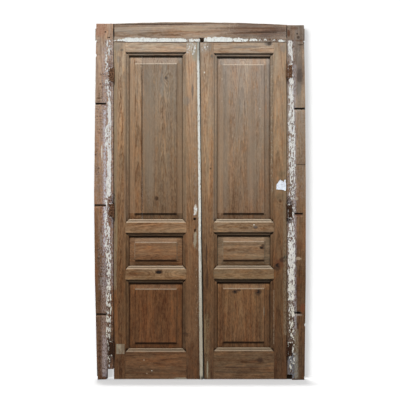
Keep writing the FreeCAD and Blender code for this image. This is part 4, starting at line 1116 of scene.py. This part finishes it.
def paintMaterial(name, light, low, worn, speck=0.5):
    material, s, surface = newMaterial(name)
    place = objectPlace(s)
    base = s.mix(s.fit(s.split(place)[2], 1.2, 0.3), shade(*light), shade(*low))
    tone = s.noise(place, (90.0, 90.0, 40.0), 4.0, 1.0, 0.65)
    base = s.mix(s.fit(tone, 0.5, 0.7, 0.0, 0.75), base, shade(*worn))
    stain = s.noise(place, (150.0, 150.0, 55.0), 4.0, 6.0, 0.7)
    base = s.mix(s.fit(stain, 0.57, 0.66, 0.0, speck * 1.3), base, shade(*paintLook["stain"]))
    cool = s.noise(place, (170.0, 170.0, 36.0), 3.0, 9.0, 0.65)
    base = s.mix(s.fit(cool, 0.53, 0.62, 0.0, speck * 1.3), base, shade(*paintLook["cool"]))
    dots = s.dots({"Vector": place, "Scale": 170.0}, 0.34, 0.22, 0.62)
    base = s.mix(s.times(dots, speck), base, shade(*paintLook["dot"]))
    fine = s.noise(place, 420.0, 2.0, 4.0)
    base = s.dye(base, s.fit(fine, 0.55, 0.75, 0.0, 0.35), paintLook["fine"])
    lift = s.plus(tone, s.times(dots, -0.6))
    s.coat(surface, base, s.fit(tone, 0.3, 0.7, 0.5, 0.72), lift, 0.5, 0.0005)
    return material


def zoneCover(zone):  # paint between two ragged lines, by the height
    def cover(x, z):
        row = readAt(zone, z)
        if not row:
            return -1.0
        left, right, whole = row
        wander = 0.007 * noise.fractal(Vector((z * 24, left * 9, 0)), 0.8, 2.0, 3)
        edge = min(x - left - wander, right - x + wander * 0.3) / 0.008
        return whole * max(-0.6, min(1.0, edge))
    return cover


def headCover(x, z):
    row = readAt(headStrip, x)
    if not row:
        return -1.0
    low, high, whole = row
    rag = 0.006 * noise.fractal(Vector((x * 30, 2.0, 0)), 0.8, 2.0, 4)
    edge = min(z - low + 0.3 * rag, high + rag - z) / 0.005
    return whole * max(-0.6, min(1.0, edge))


def patchCover(x0, x1, z0, z1, whole):
    return lambda x, z: whole * min(1.0, min(x - x0, x1 - x, z - z0, z1 - z) / 0.008)


def rimCover(x0, x1, z0, z1):  # paint clings to the rim of a hinge plate
    return lambda x, z: 0.56 - 0.50 * between(min(x - x0, x1 - x, z - z0, z1 - z), 0.0, 0.011)


label = {
    "sides": (0.5095, 0.5735),
    "foot": (0.51, 1.271),
    "peak": (0.533, 1.336),
    "leftTop": 1.303,
    "strip": (0.562, 0.571, 1.335),  # a narrow piece that is left standing
}


def labelCover(x, z):  # a torn piece of blank paper
    rag = 0.0022 * noise.fractal(Vector((x * 240, 1.0, z * 240)), 0.7, 2.0, 3)
    (left, right), (corner, foot), (peak, top) = label["sides"], label["foot"], label["peak"]
    start, end, tall = label["strip"]
    slant = min(top - 0.55 * abs(x - peak), label["leftTop"] + 1.3 * (x - left))
    edge = min(x - left, right - x, z - foot + 0.08 * (x - corner), slant - z)
    if start < x < end:
        edge = max(edge, min(x - start, end - x, tall - z))
    return (edge + rag) / 0.003


def flakeValue(x, z, cover, seed, look):  # above zero where there is paint
    wanted = cover(x, z)
    if wanted <= 0:
        return -0.2
    if look.get("whole"):
        return wanted
    size, stretch = look["flake"], look["stretch"]
    reach, centres = noise.voronoi(Vector((x / size, seed, z / (size * stretch))))
    worn = noise.fractal(Vector((x * 110, seed, z * 68 / stretch)), 0.75, 2.0, 4)
    loss = noise.noise(centres[0] * 6.1)
    present = wanted - 0.5 + 0.40 * worn + 0.42 * loss
    crack = (reach[1] - reach[0] - look["crack"]) * 1.2
    return min(present, crack + max(0.0, present - 0.12))


def paintSkin(name, body, material, area, cover, seed, look=flakeLook, replaced=()):
    x0, x1, z0, z1 = area
    net = look["net"]
    nx, nz = round((x1 - x0) / net), round((z1 - z0) / net)
    value, points, mesh = {}, {}, bmesh.new()
    for i in range(nx + 1):
        for j in range(nz + 1):
            rim = i in (0, nx) or j in (0, nz)
            value[i, j] = -0.05 if rim else flakeValue(x0 + i * net, z0 + j * net, cover, seed, look)

    def corner(*ends):  # a net point, or where the paint's edge crosses between two
        a, b = key = tuple(sorted(ends))
        if key not in points:
            share = 0.0
            if a != b:
                share = max(0.08, min(0.92, value[a] / (value[a] - value[b])))
            x = x0 + net * (a[0] + (b[0] - a[0]) * share)
            z = z0 + net * (a[1] + (b[1] - a[1]) * share)
            lift = look["thickness"] * (0.8 + 0.35 * noise.noise(Vector((x * 90, seed, z * 60))))
            if a != b:
                lift += look["curl"] * (0.5 + 0.5 * noise.noise(Vector((x * 200, 4.0, z * 200))))
            depths = (look["face"] - lift, look["face"] + look["root"])
            points[key] = [mesh.verts.new((x, depth, z)) for depth in depths]
        return points[key]

    for i in range(nx):
        for j in range(nz):
            ring = [(i, j), (i + 1, j), (i + 1, j + 1), (i, j + 1)]
            shape = []
            for a, b in zip(ring, ring[1:] + ring[:1]):
                if value[a] > 0:
                    shape.append(corner(a, a))
                if (value[a] > 0) != (value[b] > 0):
                    shape.append(corner(a, b))
            if len(shape) > 2:
                mesh.faces.new([front for front, back in shape])
                mesh.faces.new([back for front, back in reversed(shape)])
    twin = {front: back for front, back in points.values()}
    for edge in [e for e in mesh.edges if len(e.link_loops) == 1 and e.verts[0] in twin]:
        loop = edge.link_loops[0]
        a, b = loop.vert, loop.link_loop_next.vert
        mesh.faces.new([b, a, twin[a], twin[b]])
    piece = finishMesh(name, mesh, material, 50)
    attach(piece, body)
    for node in replaced:
        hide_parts(node)


boneWhite = paintMaterial("boneWhitePaint", (212, 211, 206), (198, 194, 180), (158, 150, 148))
headWhite = paintMaterial("headWhitePaint", (222, 224, 219), (222, 224, 219), (186, 180, 166), 0.35)
leftPaint = [  # height, left edge, right edge, how whole
    (2.268, -0.632, -0.584, 0.43), (2.18, -0.637, -0.584, 0.47), (2.15, -0.637, -0.612, 0.59),
    (2.00, -0.637, -0.610, 0.53), (1.96, -0.636, -0.588, 0.49), (1.86, -0.620, -0.588, 0.63),
    (1.83, -0.617, -0.588, 0.93), (1.71, -0.618, -0.588, 0.93), (1.66, -0.640, -0.588, 0.65),
    (1.55, -0.634, -0.588, 0.69), (1.51, -0.622, -0.587, 0.94), (1.36, -0.624, -0.588, 0.91),
    (1.23, -0.630, -0.590, 0.84), (1.21, -0.638, -0.612, 0.58), (1.05, -0.640, -0.610, 0.58),
    (1.02, -0.640, -0.596, 0.60), (0.88, -0.636, -0.584, 0.54), (0.73, -0.628, -0.590, 0.62),
    (0.55, -0.630, -0.588, 0.60), (0.41, -0.630, -0.584, 0.54), (0.28, -0.630, -0.588, 0.48),
    (0.26, -0.628, -0.608, 0.38), (0.17, -0.626, -0.606, 0.36), (0.14, -0.622, -0.592, 0.58),
    (0.085, -0.614, -0.598, 0.52), (0.07, -0.614, -0.600, 0.00),
]
rightPaint = [
    (2.262, 0.583, 0.618, 0.80), (2.18, 0.583, 0.622, 0.80), (2.15, 0.600, 0.626, 0.60),
    (2.03, 0.600, 0.626, 0.57), (2.00, 0.586, 0.628, 0.69), (1.86, 0.585, 0.630, 0.67),
    (1.69, 0.585, 0.640, 0.65), (1.53, 0.586, 0.641, 0.59), (1.37, 0.586, 0.641, 0.53),
    (1.22, 0.587, 0.641, 0.51), (1.20, 0.606, 0.641, 0.39), (1.06, 0.606, 0.640, 0.41),
    (1.04, 0.586, 0.638, 0.51), (0.92, 0.584, 0.638, 0.60), (0.86, 0.583, 0.637, 0.76),
    (0.60, 0.583, 0.637, 0.68), (0.53, 0.584, 0.636, 0.55), (0.35, 0.586, 0.634, 0.50),
    (0.27, 0.602, 0.638, 0.46), (0.17, 0.602, 0.640, 0.46), (0.14, 0.588, 0.640, 0.44),
    (0.06, 0.590, 0.636, 0.38), (0.03, 0.592, 0.630, 0.00),
]
headStrip = [  # place along the head, lower edge, upper edge, how whole
    (-0.572, 2.256, 2.270, 0.40), (-0.555, 2.256, 2.276, 0.70), (-0.515, 2.255, 2.278, 0.62),
    (-0.490, 2.250, 2.284, 0.95), (-0.300, 2.250, 2.282, 1.0), (-0.110, 2.250, 2.280, 0.95),
    (-0.088, 2.252, 2.276, 0.62), (0.000, 2.250, 2.277, 0.75), (0.004, 2.250, 2.276, 0.0),
    (0.024, 2.250, 2.276, 0.0), (0.030, 2.250, 2.284, 0.90), (0.110, 2.248, 2.290, 1.0),
    (0.190, 2.248, 2.288, 0.95), (0.215, 2.252, 2.280, 0.60), (0.270, 2.250, 2.284, 0.85),
    (0.300, 2.254, 2.278, 0.52), (0.390, 2.256, 2.279, 0.48), (0.450, 2.258, 2.276, 0.36),
    (0.510, 2.257, 2.274, 0.40), (0.530, 2.252, 2.272, 0.72), (0.566, 2.253, 2.268, 0.60),
    (0.572, 2.253, 2.266, 0.0),
]
frameSkins = {  # piece: paint, the net's area, where the paint lies, seed, look
    "left_jamb_paint": (boneWhite, (-0.640, -0.5775, 0.075, 2.275), zoneCover(leftPaint), 1.0, jambLook),
    "right_jamb_paint": (boneWhite, (0.5815, 0.641, 0.015, 2.270), zoneCover(rightPaint), 7.0, jambLook),
    "head_paint": (headWhite, (-0.575, 0.578, 2.2545, 2.294), headCover, 3.0, stripLook),
}
leftCorner = patchCover(-0.095, -0.020, 2.16, 2.26, 0.46)
rightCorner = patchCover(0.002, 0.06, 2.19, 2.26, 0.44)
lockEdge = patchCover(-0.045, -0.010, 1.092, 1.156, 0.55)
leafSkins = {  # piece: body, the net's area, where the paint lies, seed
    "left_leaf_top_paint": ("left_leaf", (-0.10, -0.0275, 2.12, 2.249), leftCorner, 11.0),
    "right_leaf_top_paint": ("right_leaf", (0.0065, 0.065, 2.16, 2.249), rightCorner, 13.0),
    "lock_edge_paint": ("left_leaf", (-0.050, -0.0165, 1.085, 1.16), lockEdge, 17.0),
}
for name, (paint, area, cover, seed, look) in frameSkins.items():
    paintSkin(name, "frame", paint, area, cover, seed, look)
for name, (body, area, cover, seed) in leafSkins.items():
    paintSkin(name, body, boneWhite, area, cover, seed)


def paperLabel():
    material, s, surface = newMaterial("tornPaper")
    place = objectPlace(s)
    tone = s.noise(place, 70.0, 4.0, 2.0, 0.6)
    colour = s.mix(s.fit(tone, 0.42, 0.66), shade(224, 231, 240), shade(196, 200, 210))
    worn = s.fit(s.noise(place, 190.0, 3.0, 5.0, 0.6), 0.63, 0.68, 0.0, 0.7)
    colour = s.mix(worn, colour, shade(150, 128, 120))
    fibres = s.noise(place, (900.0, 900.0, 300.0), 2.0, 1.0)
    s.coat(surface, colour, 0.85, s.plus(tone, fibres), 0.5, 0.0004)
    return material


paintSkin(
    "paper_label_torn", "right_leaf", paperLabel(), (0.505, 0.577, 1.262, 1.342),
    labelCover, 2.0, labelLook, ["right_paper_label"],
)
plateSides = {"left": (-0.6105, -0.5825), "right": (0.5865, 0.6145)}
for side, (x0, x1) in plateSides.items():
    for place in ("top", "middle", "bottom"):
        low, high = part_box(f"{side}_{place}_frame_hinge_plate")
        area = (x0 - 0.003, x1 + 0.001, low.z - 0.004, high.z + 0.004)
        cover = rimCover(x0, x1 + 0.02, low.z, high.z)
        name = f"{side}_{place}_hinge_paint"
        paintSkin(name, "frame", boneWhite, area, cover, 5.0 + low.z, plateLook)
print("stage: old paint and label")


# iron and steel

ironLook = {
    "soot": (34, 22, 14),
    "pit": (30, 20, 12),
    "bloom": (136, 103, 79),
    "paint": (176, 168, 160),
    "clean": (0.55, 0.55, 0.56),
    "lowCrust": (0.46, 0.34, 0.25),
    "grimeAndShade": (0.22, 0.19, 0.17),
    "gloss": 0.12,
    "sootyPlaces": [(0.598, 1.135, 0.055, 0.14), (-0.592, 0.205, 0.05, 0.12), (0.600, 0.200, 0.05, 0.12)],
}


def metalMaterial(name, steel, rust, rustShare, paintShare=0.0, rough=0.5, metallic=0.6, sooty=()):
    material, s, surface = newMaterial(name)
    place = objectPlace(s)
    patch = s.noise(place, 75.0, 5.0, 1.0, 0.65)
    pits = s.noise(place, 520.0, 3.0, 2.0, 0.6)
    clean = s.fit(s.timesPlus(pits, 0.25, patch), 0.80 - rustShare * 0.45, 0.66 - rustShare * 0.45)
    rusted = s.minus(1.0, clean)
    metal = s.dye(shade(*steel), s.fit(pits, 0.4, 0.7), ironLook["clean"])
    bloom = s.noise(place, 150.0, 4.0, 6.0, 0.6)
    stops = zip((0.36, 0.5, 0.62), (shade(*ironLook["pit"]), shade(*rust), shade(*ironLook["bloom"])))
    crust = s.ramp(bloom, list(stops))
    crust = s.dye(crust, s.fit(s.split(place)[2], 1.8, 0.3), ironLook["lowCrust"])
    colour = s.mix(rusted, metal, crust)
    # grime with painted shade in corners, from ambient occlusion
    colour = s.dye(colour, s.fit(s.nook(0.008), 0.8, 0.35, 0.0, 0.8), ironLook["grimeAndShade"])
    painted = s.noise(place, (120.0, 120.0, 70.0), 4.0, 9.0, 0.65)
    painted = s.fit(painted, 0.78 - paintShare * 0.4, 0.80 - paintShare * 0.4)
    colour = s.mix(painted, colour, shade(*ironLook["paint"]))
    for spot in sooty:
        colour = s.mix(s.times(blot(s, place, spot), 0.75), colour, shade(*ironLook["soot"]))
    lift = s.timesPlus(painted, 0.6, s.times(pits, s.fit(rusted, 0.0, 1.0, 0.3, 1.0)))
    s.coat(surface, colour, s.fit(rusted, 0.0, 1.0, rough, 0.85), lift, 0.7, 0.0006)
    s.give(surface, "Metallic", s.times(s.minus(1.0, s.most(rusted, painted)), metallic))
    surface.inputs["Specular IOR Level"].default_value = ironLook["gloss"]
    return material


plateIron = metalMaterial("rustyIron", (92, 84, 78), (92, 65, 47), 1.0, 0.10, sooty=ironLook["sootyPlaces"])
hingeIron = metalMaterial("hingeIron", (80, 72, 66), (58, 38, 28), 1.0, 0.05)
lockIron = metalMaterial("lockIron", (74, 70, 66), (58, 38, 28), 0.85)
wornSteel = metalMaterial("wornSteel", (150, 146, 140), (96, 66, 48), 0.35, 0.0, 0.36, 0.85)
for node, made in frame["nodes"].items():  # the CAD's own iron keeps its shape
    if "hinge_plate" in node:
        finish = plateIron
    elif "hinge_pins" in node:
        finish = hingeIron
    elif node in ("left_lock_case", "left_lock_cap"):
        finish = lockIron
    elif any(word in node for word in ("faceplate", "bolt", "keeper_plate", "follower")):
        finish = wornSteel
    else:
        continue
    for place in made.material_slots:
        place.material = finish
print("stage: iron and steel")


# screws, pegs and nails, one tree each, set where the CAD's own stand

def islands(node):  # the box of each separate solid in a node
    mesh = weldedCopy(node)
    boxes, seen = [], set()
    for start in mesh.verts:
        if start in seen:
            continue
        stack, part = [start], []
        seen.add(start)
        while stack:
            vertex = stack.pop()
            part.append(vertex.co.copy())
            for other in [edge.other_vert(vertex) for edge in vertex.link_edges]:
                if other not in seen:
                    seen.add(other)
                    stack.append(other)
        boxes.append([Vector([pick(p[k] for p in part) for k in range(3)]) for pick in (min, max)])
    mesh.free()
    return boxes


def hardwareTree(name, sizes, shape):
    tree = bpy.data.node_groups.new(name, "GeometryNodeTree")
    tree.is_modifier = True
    wanted = [("Geometry", "Geometry"), *((size, "Float") for size in sizes)]
    wanted += [("Loosest Turn", "Float"), ("Seed", "Int"), ("Finish", "Material")]
    for label, kind in wanted:
        tree.interface.new_socket(name=label, in_out="INPUT", socket_type="NodeSocket" + kind)
    tree.interface.new_socket(name="Geometry", in_out="OUTPUT", socket_type="NodeSocketGeometry")
    s = Sketch(tree)
    given = s.add("NodeGroupInput").outputs
    made = shape(s, given)
    facing = s.add("GeometryNodeInputNamedAttribute", {"Name": "facing"}, data_type="FLOAT_VECTOR")
    aim = {"Vector": facing.outputs["Attribute"]}
    turned = s.add("FunctionNodeAlignRotationToVector", aim, axis="Z").outputs["Rotation"]
    points = {"Points": given["Geometry"], "Instance": made, "Rotation": turned}
    placed = s.add("GeometryNodeInstanceOnPoints", points).outputs[0]
    turns = {"Min": 0.0, "Max": given["Loosest Turn"], "Seed": given["Seed"]}
    roll = s.add("FunctionNodeRandomValue", turns, data_type="FLOAT").outputs["Value"]
    spin = {"Instances": placed, "Rotation": s.join(0.0, 0.0, roll), "Local Space": True}
    rolled = s.add("GeometryNodeRotateInstances", spin).outputs[0]
    real = s.add("GeometryNodeRealizeInstances", {"Geometry": rolled}).outputs[0]
    finished = s.add("GeometryNodeSetMaterial", {"Geometry": real, "Material": given["Finish"]}).outputs[0]
    s.add("NodeGroupOutput", {"Geometry": finished})
    return tree


def moved(s, geometry, z):
    shift = {"Geometry": geometry, "Translation": s.join(0.0, 0.0, z)}
    return s.add("GeometryNodeTransform", shift).outputs[0]


def joined(s, *parts):
    node = s.add("GeometryNodeJoinGeometry")
    for part in parts:
        s.tree.links.new(part, node.inputs[0])
    return node.outputs[0]


def rod(s, sides, radius, length):
    inputs = {"Vertices": sides, "Radius": radius, "Depth": length}
    return s.add("GeometryNodeMeshCylinder", inputs).outputs


def domed(s, stock, height, share):  # a rod whose upper end is raised and drawn in
    raised = {"Mesh": stock["Mesh"], "Selection": stock["Top"], "Offset Scale": height}
    up = s.add("GeometryNodeExtrudeMesh", raised, mode="FACES").outputs
    drawn = {"Geometry": up["Mesh"], "Selection": up["Top"], "Scale": share}
    return s.add("GeometryNodeScaleElements", drawn).outputs[0]


def screwShape(s, given):  # its head is flush with z = 0 and the shank goes down
    headRadius, headDepth, shankRadius = given["Head Radius"], given["Head Depth"], given["Shank Radius"]
    head = s.add("GeometryNodeMeshCone", {
        "Vertices": 20, "Radius Top": headRadius, "Radius Bottom": shankRadius, "Depth": headDepth,
    }).outputs["Mesh"]
    head = moved(s, head, s.times(headDepth, -1.0))
    slot = s.join(s.times(headRadius, 2.4), given["Slot Width"], given["Slot Depth"])
    cutter = s.add("GeometryNodeMeshCube", {"Size": slot}).outputs["Mesh"]
    slotted = s.add("GeometryNodeMeshBoolean", {"Mesh 1": head, "Mesh 2": cutter}, operation="DIFFERENCE")
    length = s.minus(given["Length"], headDepth)
    shank = rod(s, 12, s.times(shankRadius, 0.98), length)["Mesh"]
    drop = s.timesPlus(length, -0.5, s.times(headDepth, -1.0))
    return joined(s, slotted.outputs["Mesh"], moved(s, shank, drop))


def pegShape(s, given):
    length, crown = given["Length"], given["Crown"]
    peg = domed(s, rod(s, 14, given["Radius"], length), crown, 0.82)
    return moved(s, peg, s.timesPlus(length, -0.5, s.times(crown, -1.0)))


def nailShape(s, given):
    height, length = given["Head Height"], given["Length"]
    head = domed(s, rod(s, 14, given["Head Radius"], height), s.times(height, 0.4), 0.7)
    head = moved(s, head, s.times(height, -0.9))
    shank = rod(s, 8, given["Shank Radius"], length)["Mesh"]
    return joined(s, head, moved(s, shank, s.times(length, -0.52)))


screwSizes = ("Head Radius", "Head Depth", "Shank Radius", "Length", "Slot Width", "Slot Depth")
screwTree = hardwareTree("slottedScrew", screwSizes, screwShape)
pegTree = hardwareTree("woodenPeg", ("Radius", "Length", "Crown"), pegShape)
nailTree = hardwareTree("cutNail", ("Head Radius", "Head Height", "Shank Radius", "Length"), nailShape)


def grown(node, tree, places, facing, slot, look, **values):  # the tree's shape at each place
    name = "made_" + node
    data = bpy.data.meshes.new(name)
    data.from_pydata(places, [], [])
    way = data.attributes.new("facing", "FLOAT_VECTOR", "POINT")
    way.data.foreach_set("vector", list(facing) * len(places))
    piece = newPiece(name, data)
    modifier = piece.modifiers.new("made", "NODES")
    modifier.node_group = tree
    values = dict(look, **values)
    for item in tree.interface.items_tree:
        if item.in_out == "INPUT" and item.name in values:
            modifier[item.identifier] = values[item.name]
    plain = bpy.data.meshes.new_from_object(piece.evaluated_get(bpy.context.evaluated_depsgraph_get()))
    piece.modifiers.clear()
    piece.data = plain
    plain.name = name
    plain.set_sharp_from_angle(angle=math.radians(35))
    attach(piece, bodyOf(node))
    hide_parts(node)


screwLook = {
    "Head Radius": 0.0045, "Head Depth": 0.0030, "Shank Radius": 0.0021, "Slot Width": 0.0012,
    "Slot Depth": 0.0024, "Loosest Turn": math.pi,
}
screwSets = {  # node: way the heads face, finish, slot
    "frame_hinge_screws": ((0, -1, 0), hingeIron, "rusty_iron"),
    "left_leaf_hinge_screws": ((-1, 0, 0), hingeIron, "rusty_iron"),
    "right_leaf_hinge_screws": ((1, 0, 0), hingeIron, "rusty_iron"),
    "left_lock_screws": ((1, 0, 0), wornSteel, "dull_steel"),
    "right_keeper_screws": ((-1, 0, 0), wornSteel, "dull_steel"),
}
for number, (node, (facing, finish, slot)) in enumerate(screwSets.items()):
    axis = 0 if facing[0] else 1
    places = []
    for low, high in islands(node):
        spot = (low + high) / 2
        spot[axis] = high[axis] if facing[axis] > 0 else low[axis]
        places.append(spot)
    more = {"Length": high[axis] - low[axis], "Seed": 11 + number, "Finish": finish}
    grown(node, screwTree, places, facing, slot, screwLook, **more)

pegWood = plainWood("pegWood", (0.86, 0.84, 0.80), 37.0, (0.0, 0.2, 0.0), 0.3, 0.3)
pegLook = {"Radius": 0.0044, "Crown": 0.0004, "Loosest Turn": 1.2, "Finish": pegWood}
for number, node in enumerate(("frame_pegs", "left_leaf_pegs", "right_leaf_pegs")):
    boxes = islands(node)
    places = [Vector(((low.x + high.x) / 2, low.y, (low.z + high.z) / 2)) for low, high in boxes]
    length = boxes[0][1].y - boxes[0][0].y - pegLook["Crown"]
    grown(node, pegTree, places, (0, -1, 0), "peg_wood", pegLook, Length=length, Seed=21 + number)

nailLook = {
    "Head Radius": 0.0026, "Head Height": 0.0014, "Shank Radius": 0.0012, "Length": 0.0168,
    "Loosest Turn": 2.0, "Seed": 31, "Finish": bead,
}
places = []
for low, high in islands("left_bead_nails"):
    x, z = (low.x + high.x) / 2, (low.z + high.z) / 2
    places.append(Vector((x + leanAt(z), low.y - 0.0006, z)))
grown("left_bead_nails", nailTree, places, (0, -1, 0), "painted_bead", nailLook)
print("stage: screws, pegs and nails")


# the studio: a pale floor, a pale backdrop that is clear from behind, and soft light

studio = {
    "keySun": (-12, 61, 5.0, 16),  # turn to the side, height, strength and softness
    "backdropSun": (-24, 11, 3.3, 22),
    "floorSun": (192, 84.7, 3.0, 3.5),
    "paper": (0.86, 0.86, 0.86, 1),
    "paperLift": 0.5,  # how much of the paper's white needs no light
    "backdropGap": 0.02,
    "backdropHalf": 1.7,
    "backdropTop": 3.2,
    "floorHalf": 8,
    "roomLight": (0.12, 0.50),  # from below and from above
    "viewWidth": 2.6667,  # metres across the picture at the frame's front face
    "cameraDistance": 7.0,
    "cameraHeight": 1.2,
    "sensor": 36,
}


def whiteRays(s):  # camera, mirror and glass rays see the paper white
    path = s.add("ShaderNodeLightPath").outputs
    seen = s.most(path["Is Camera Ray"], path["Is Glossy Ray"])
    return s.most(seen, path["Is Transmission Ray"])


def paperMaterial(name, clearBehind):
    material, s, surface = newMaterial(name)
    surface.inputs["Base Color"].default_value = studio["paper"]
    surface.inputs["Roughness"].default_value = 0.9
    glow = s.add("ShaderNodeEmission", {"Color": (1, 1, 1, 1), "Strength": 1.0}).outputs[0]
    lift = s.times(whiteRays(s), studio["paperLift"])
    paper = s.add("ShaderNodeMixShader", {0: lift, 1: surface.outputs[0], 2: glow}).outputs[0]
    if clearBehind:
        clear = s.add("ShaderNodeBsdfTransparent").outputs[0]
        behind = s.add("ShaderNodeNewGeometry").outputs["Backfacing"]
        paper = s.add("ShaderNodeMixShader", {0: behind, 1: paper, 2: clear}).outputs[0]
    end = next(n for n in s.tree.nodes if n.type == "OUTPUT_MATERIAL")
    s.give(end, "Surface", paper)
    return material


def stagePlane(name, corners, material):
    data = bpy.data.meshes.new(name)
    data.from_pydata(corners, [], [(0, 1, 2, 3)])
    data.materials.append(material)
    plane = newPiece(name, data)
    return plane


half, side, top = studio["floorHalf"], studio["backdropHalf"], studio["backdropTop"]
backY = cadBox[1][1] + studio["backdropGap"]
corners = [(-half, -half, 0), (half, -half, 0), (half, half, 0), (-half, half, 0)]
floor = stagePlane("floor", corners, paperMaterial("floorPaper", False))
corners = [(-side, backY, 0), (side, backY, 0), (side, backY, top), (-side, backY, top)]
backdrop = stagePlane("backdrop", corners, paperMaterial("backdropPaper", True))
backdrop.visible_glossy = backdrop.visible_transmission = backdrop.visible_shadow = False
backdrop.visible_diffuse = floor.visible_diffuse = False  # no bounce into the undersides


def sun(name, only=None, skip=()):
    side, height, strength, softness = studio[name]
    lamp = bpy.data.lights.new(name, "SUN")
    lamp.energy = strength
    lamp.angle = math.radians(softness)
    lamp.color = (1, 1, 1)
    rig = newPiece(name, lamp)
    a, b = math.radians(side), math.radians(height)
    toLamp = Vector((math.sin(a) * math.cos(b), -math.cos(a) * math.cos(b), math.sin(b)))
    rig.rotation_euler = toLamp.to_track_quat("Z", "Y").to_euler()
    rig.location = toLamp * 6 + Vector((0, 0, studio["cameraHeight"]))
    group = bpy.data.collections.new(name + "Links")
    for thing in ([only] if only else skip):
        group.objects.link(thing)
    rig.light_linking.receiver_collection = group
    if not only:
        for entry in group.collection_objects:
            entry.light_linking.link_state = "EXCLUDE"


sun("keySun", skip=(floor, backdrop))
sun("backdropSun", only=backdrop)
sun("floorSun", only=floor)

world = bpy.data.worlds.new("studioRoom")
bpy.context.scene.world = world
world.use_nodes = True
world.node_tree.nodes.clear()
s = Sketch(world.node_tree)
upward = s.split(s.add("ShaderNodeTexCoord").outputs["Generated"])[2]
level = s.most(s.fit(upward, -1.0, 1.0, *studio["roomLight"], smooth=False), whiteRays(s))
room = s.add("ShaderNodeBackground", {"Color": (1, 1, 1, 1), "Strength": level})
s.add("ShaderNodeOutputWorld", {"Surface": room.outputs[0]})

camera = bpy.data.cameras.new("camera")
camera.sensor_width = studio["sensor"]
camera.lens = studio["sensor"] * studio["cameraDistance"] / studio["viewWidth"]
camera.clip_end = 60
cameraRig = newPiece("camera", camera)
cameraRig.location = (0, flakeLook["face"] - studio["cameraDistance"], studio["cameraHeight"])
cameraRig.rotation_euler = (math.pi / 2, 0, 0)
bpy.context.scene.camera = cameraRig
bpy.context.scene.view_settings.view_transform = "Standard"
print("stage: studio")
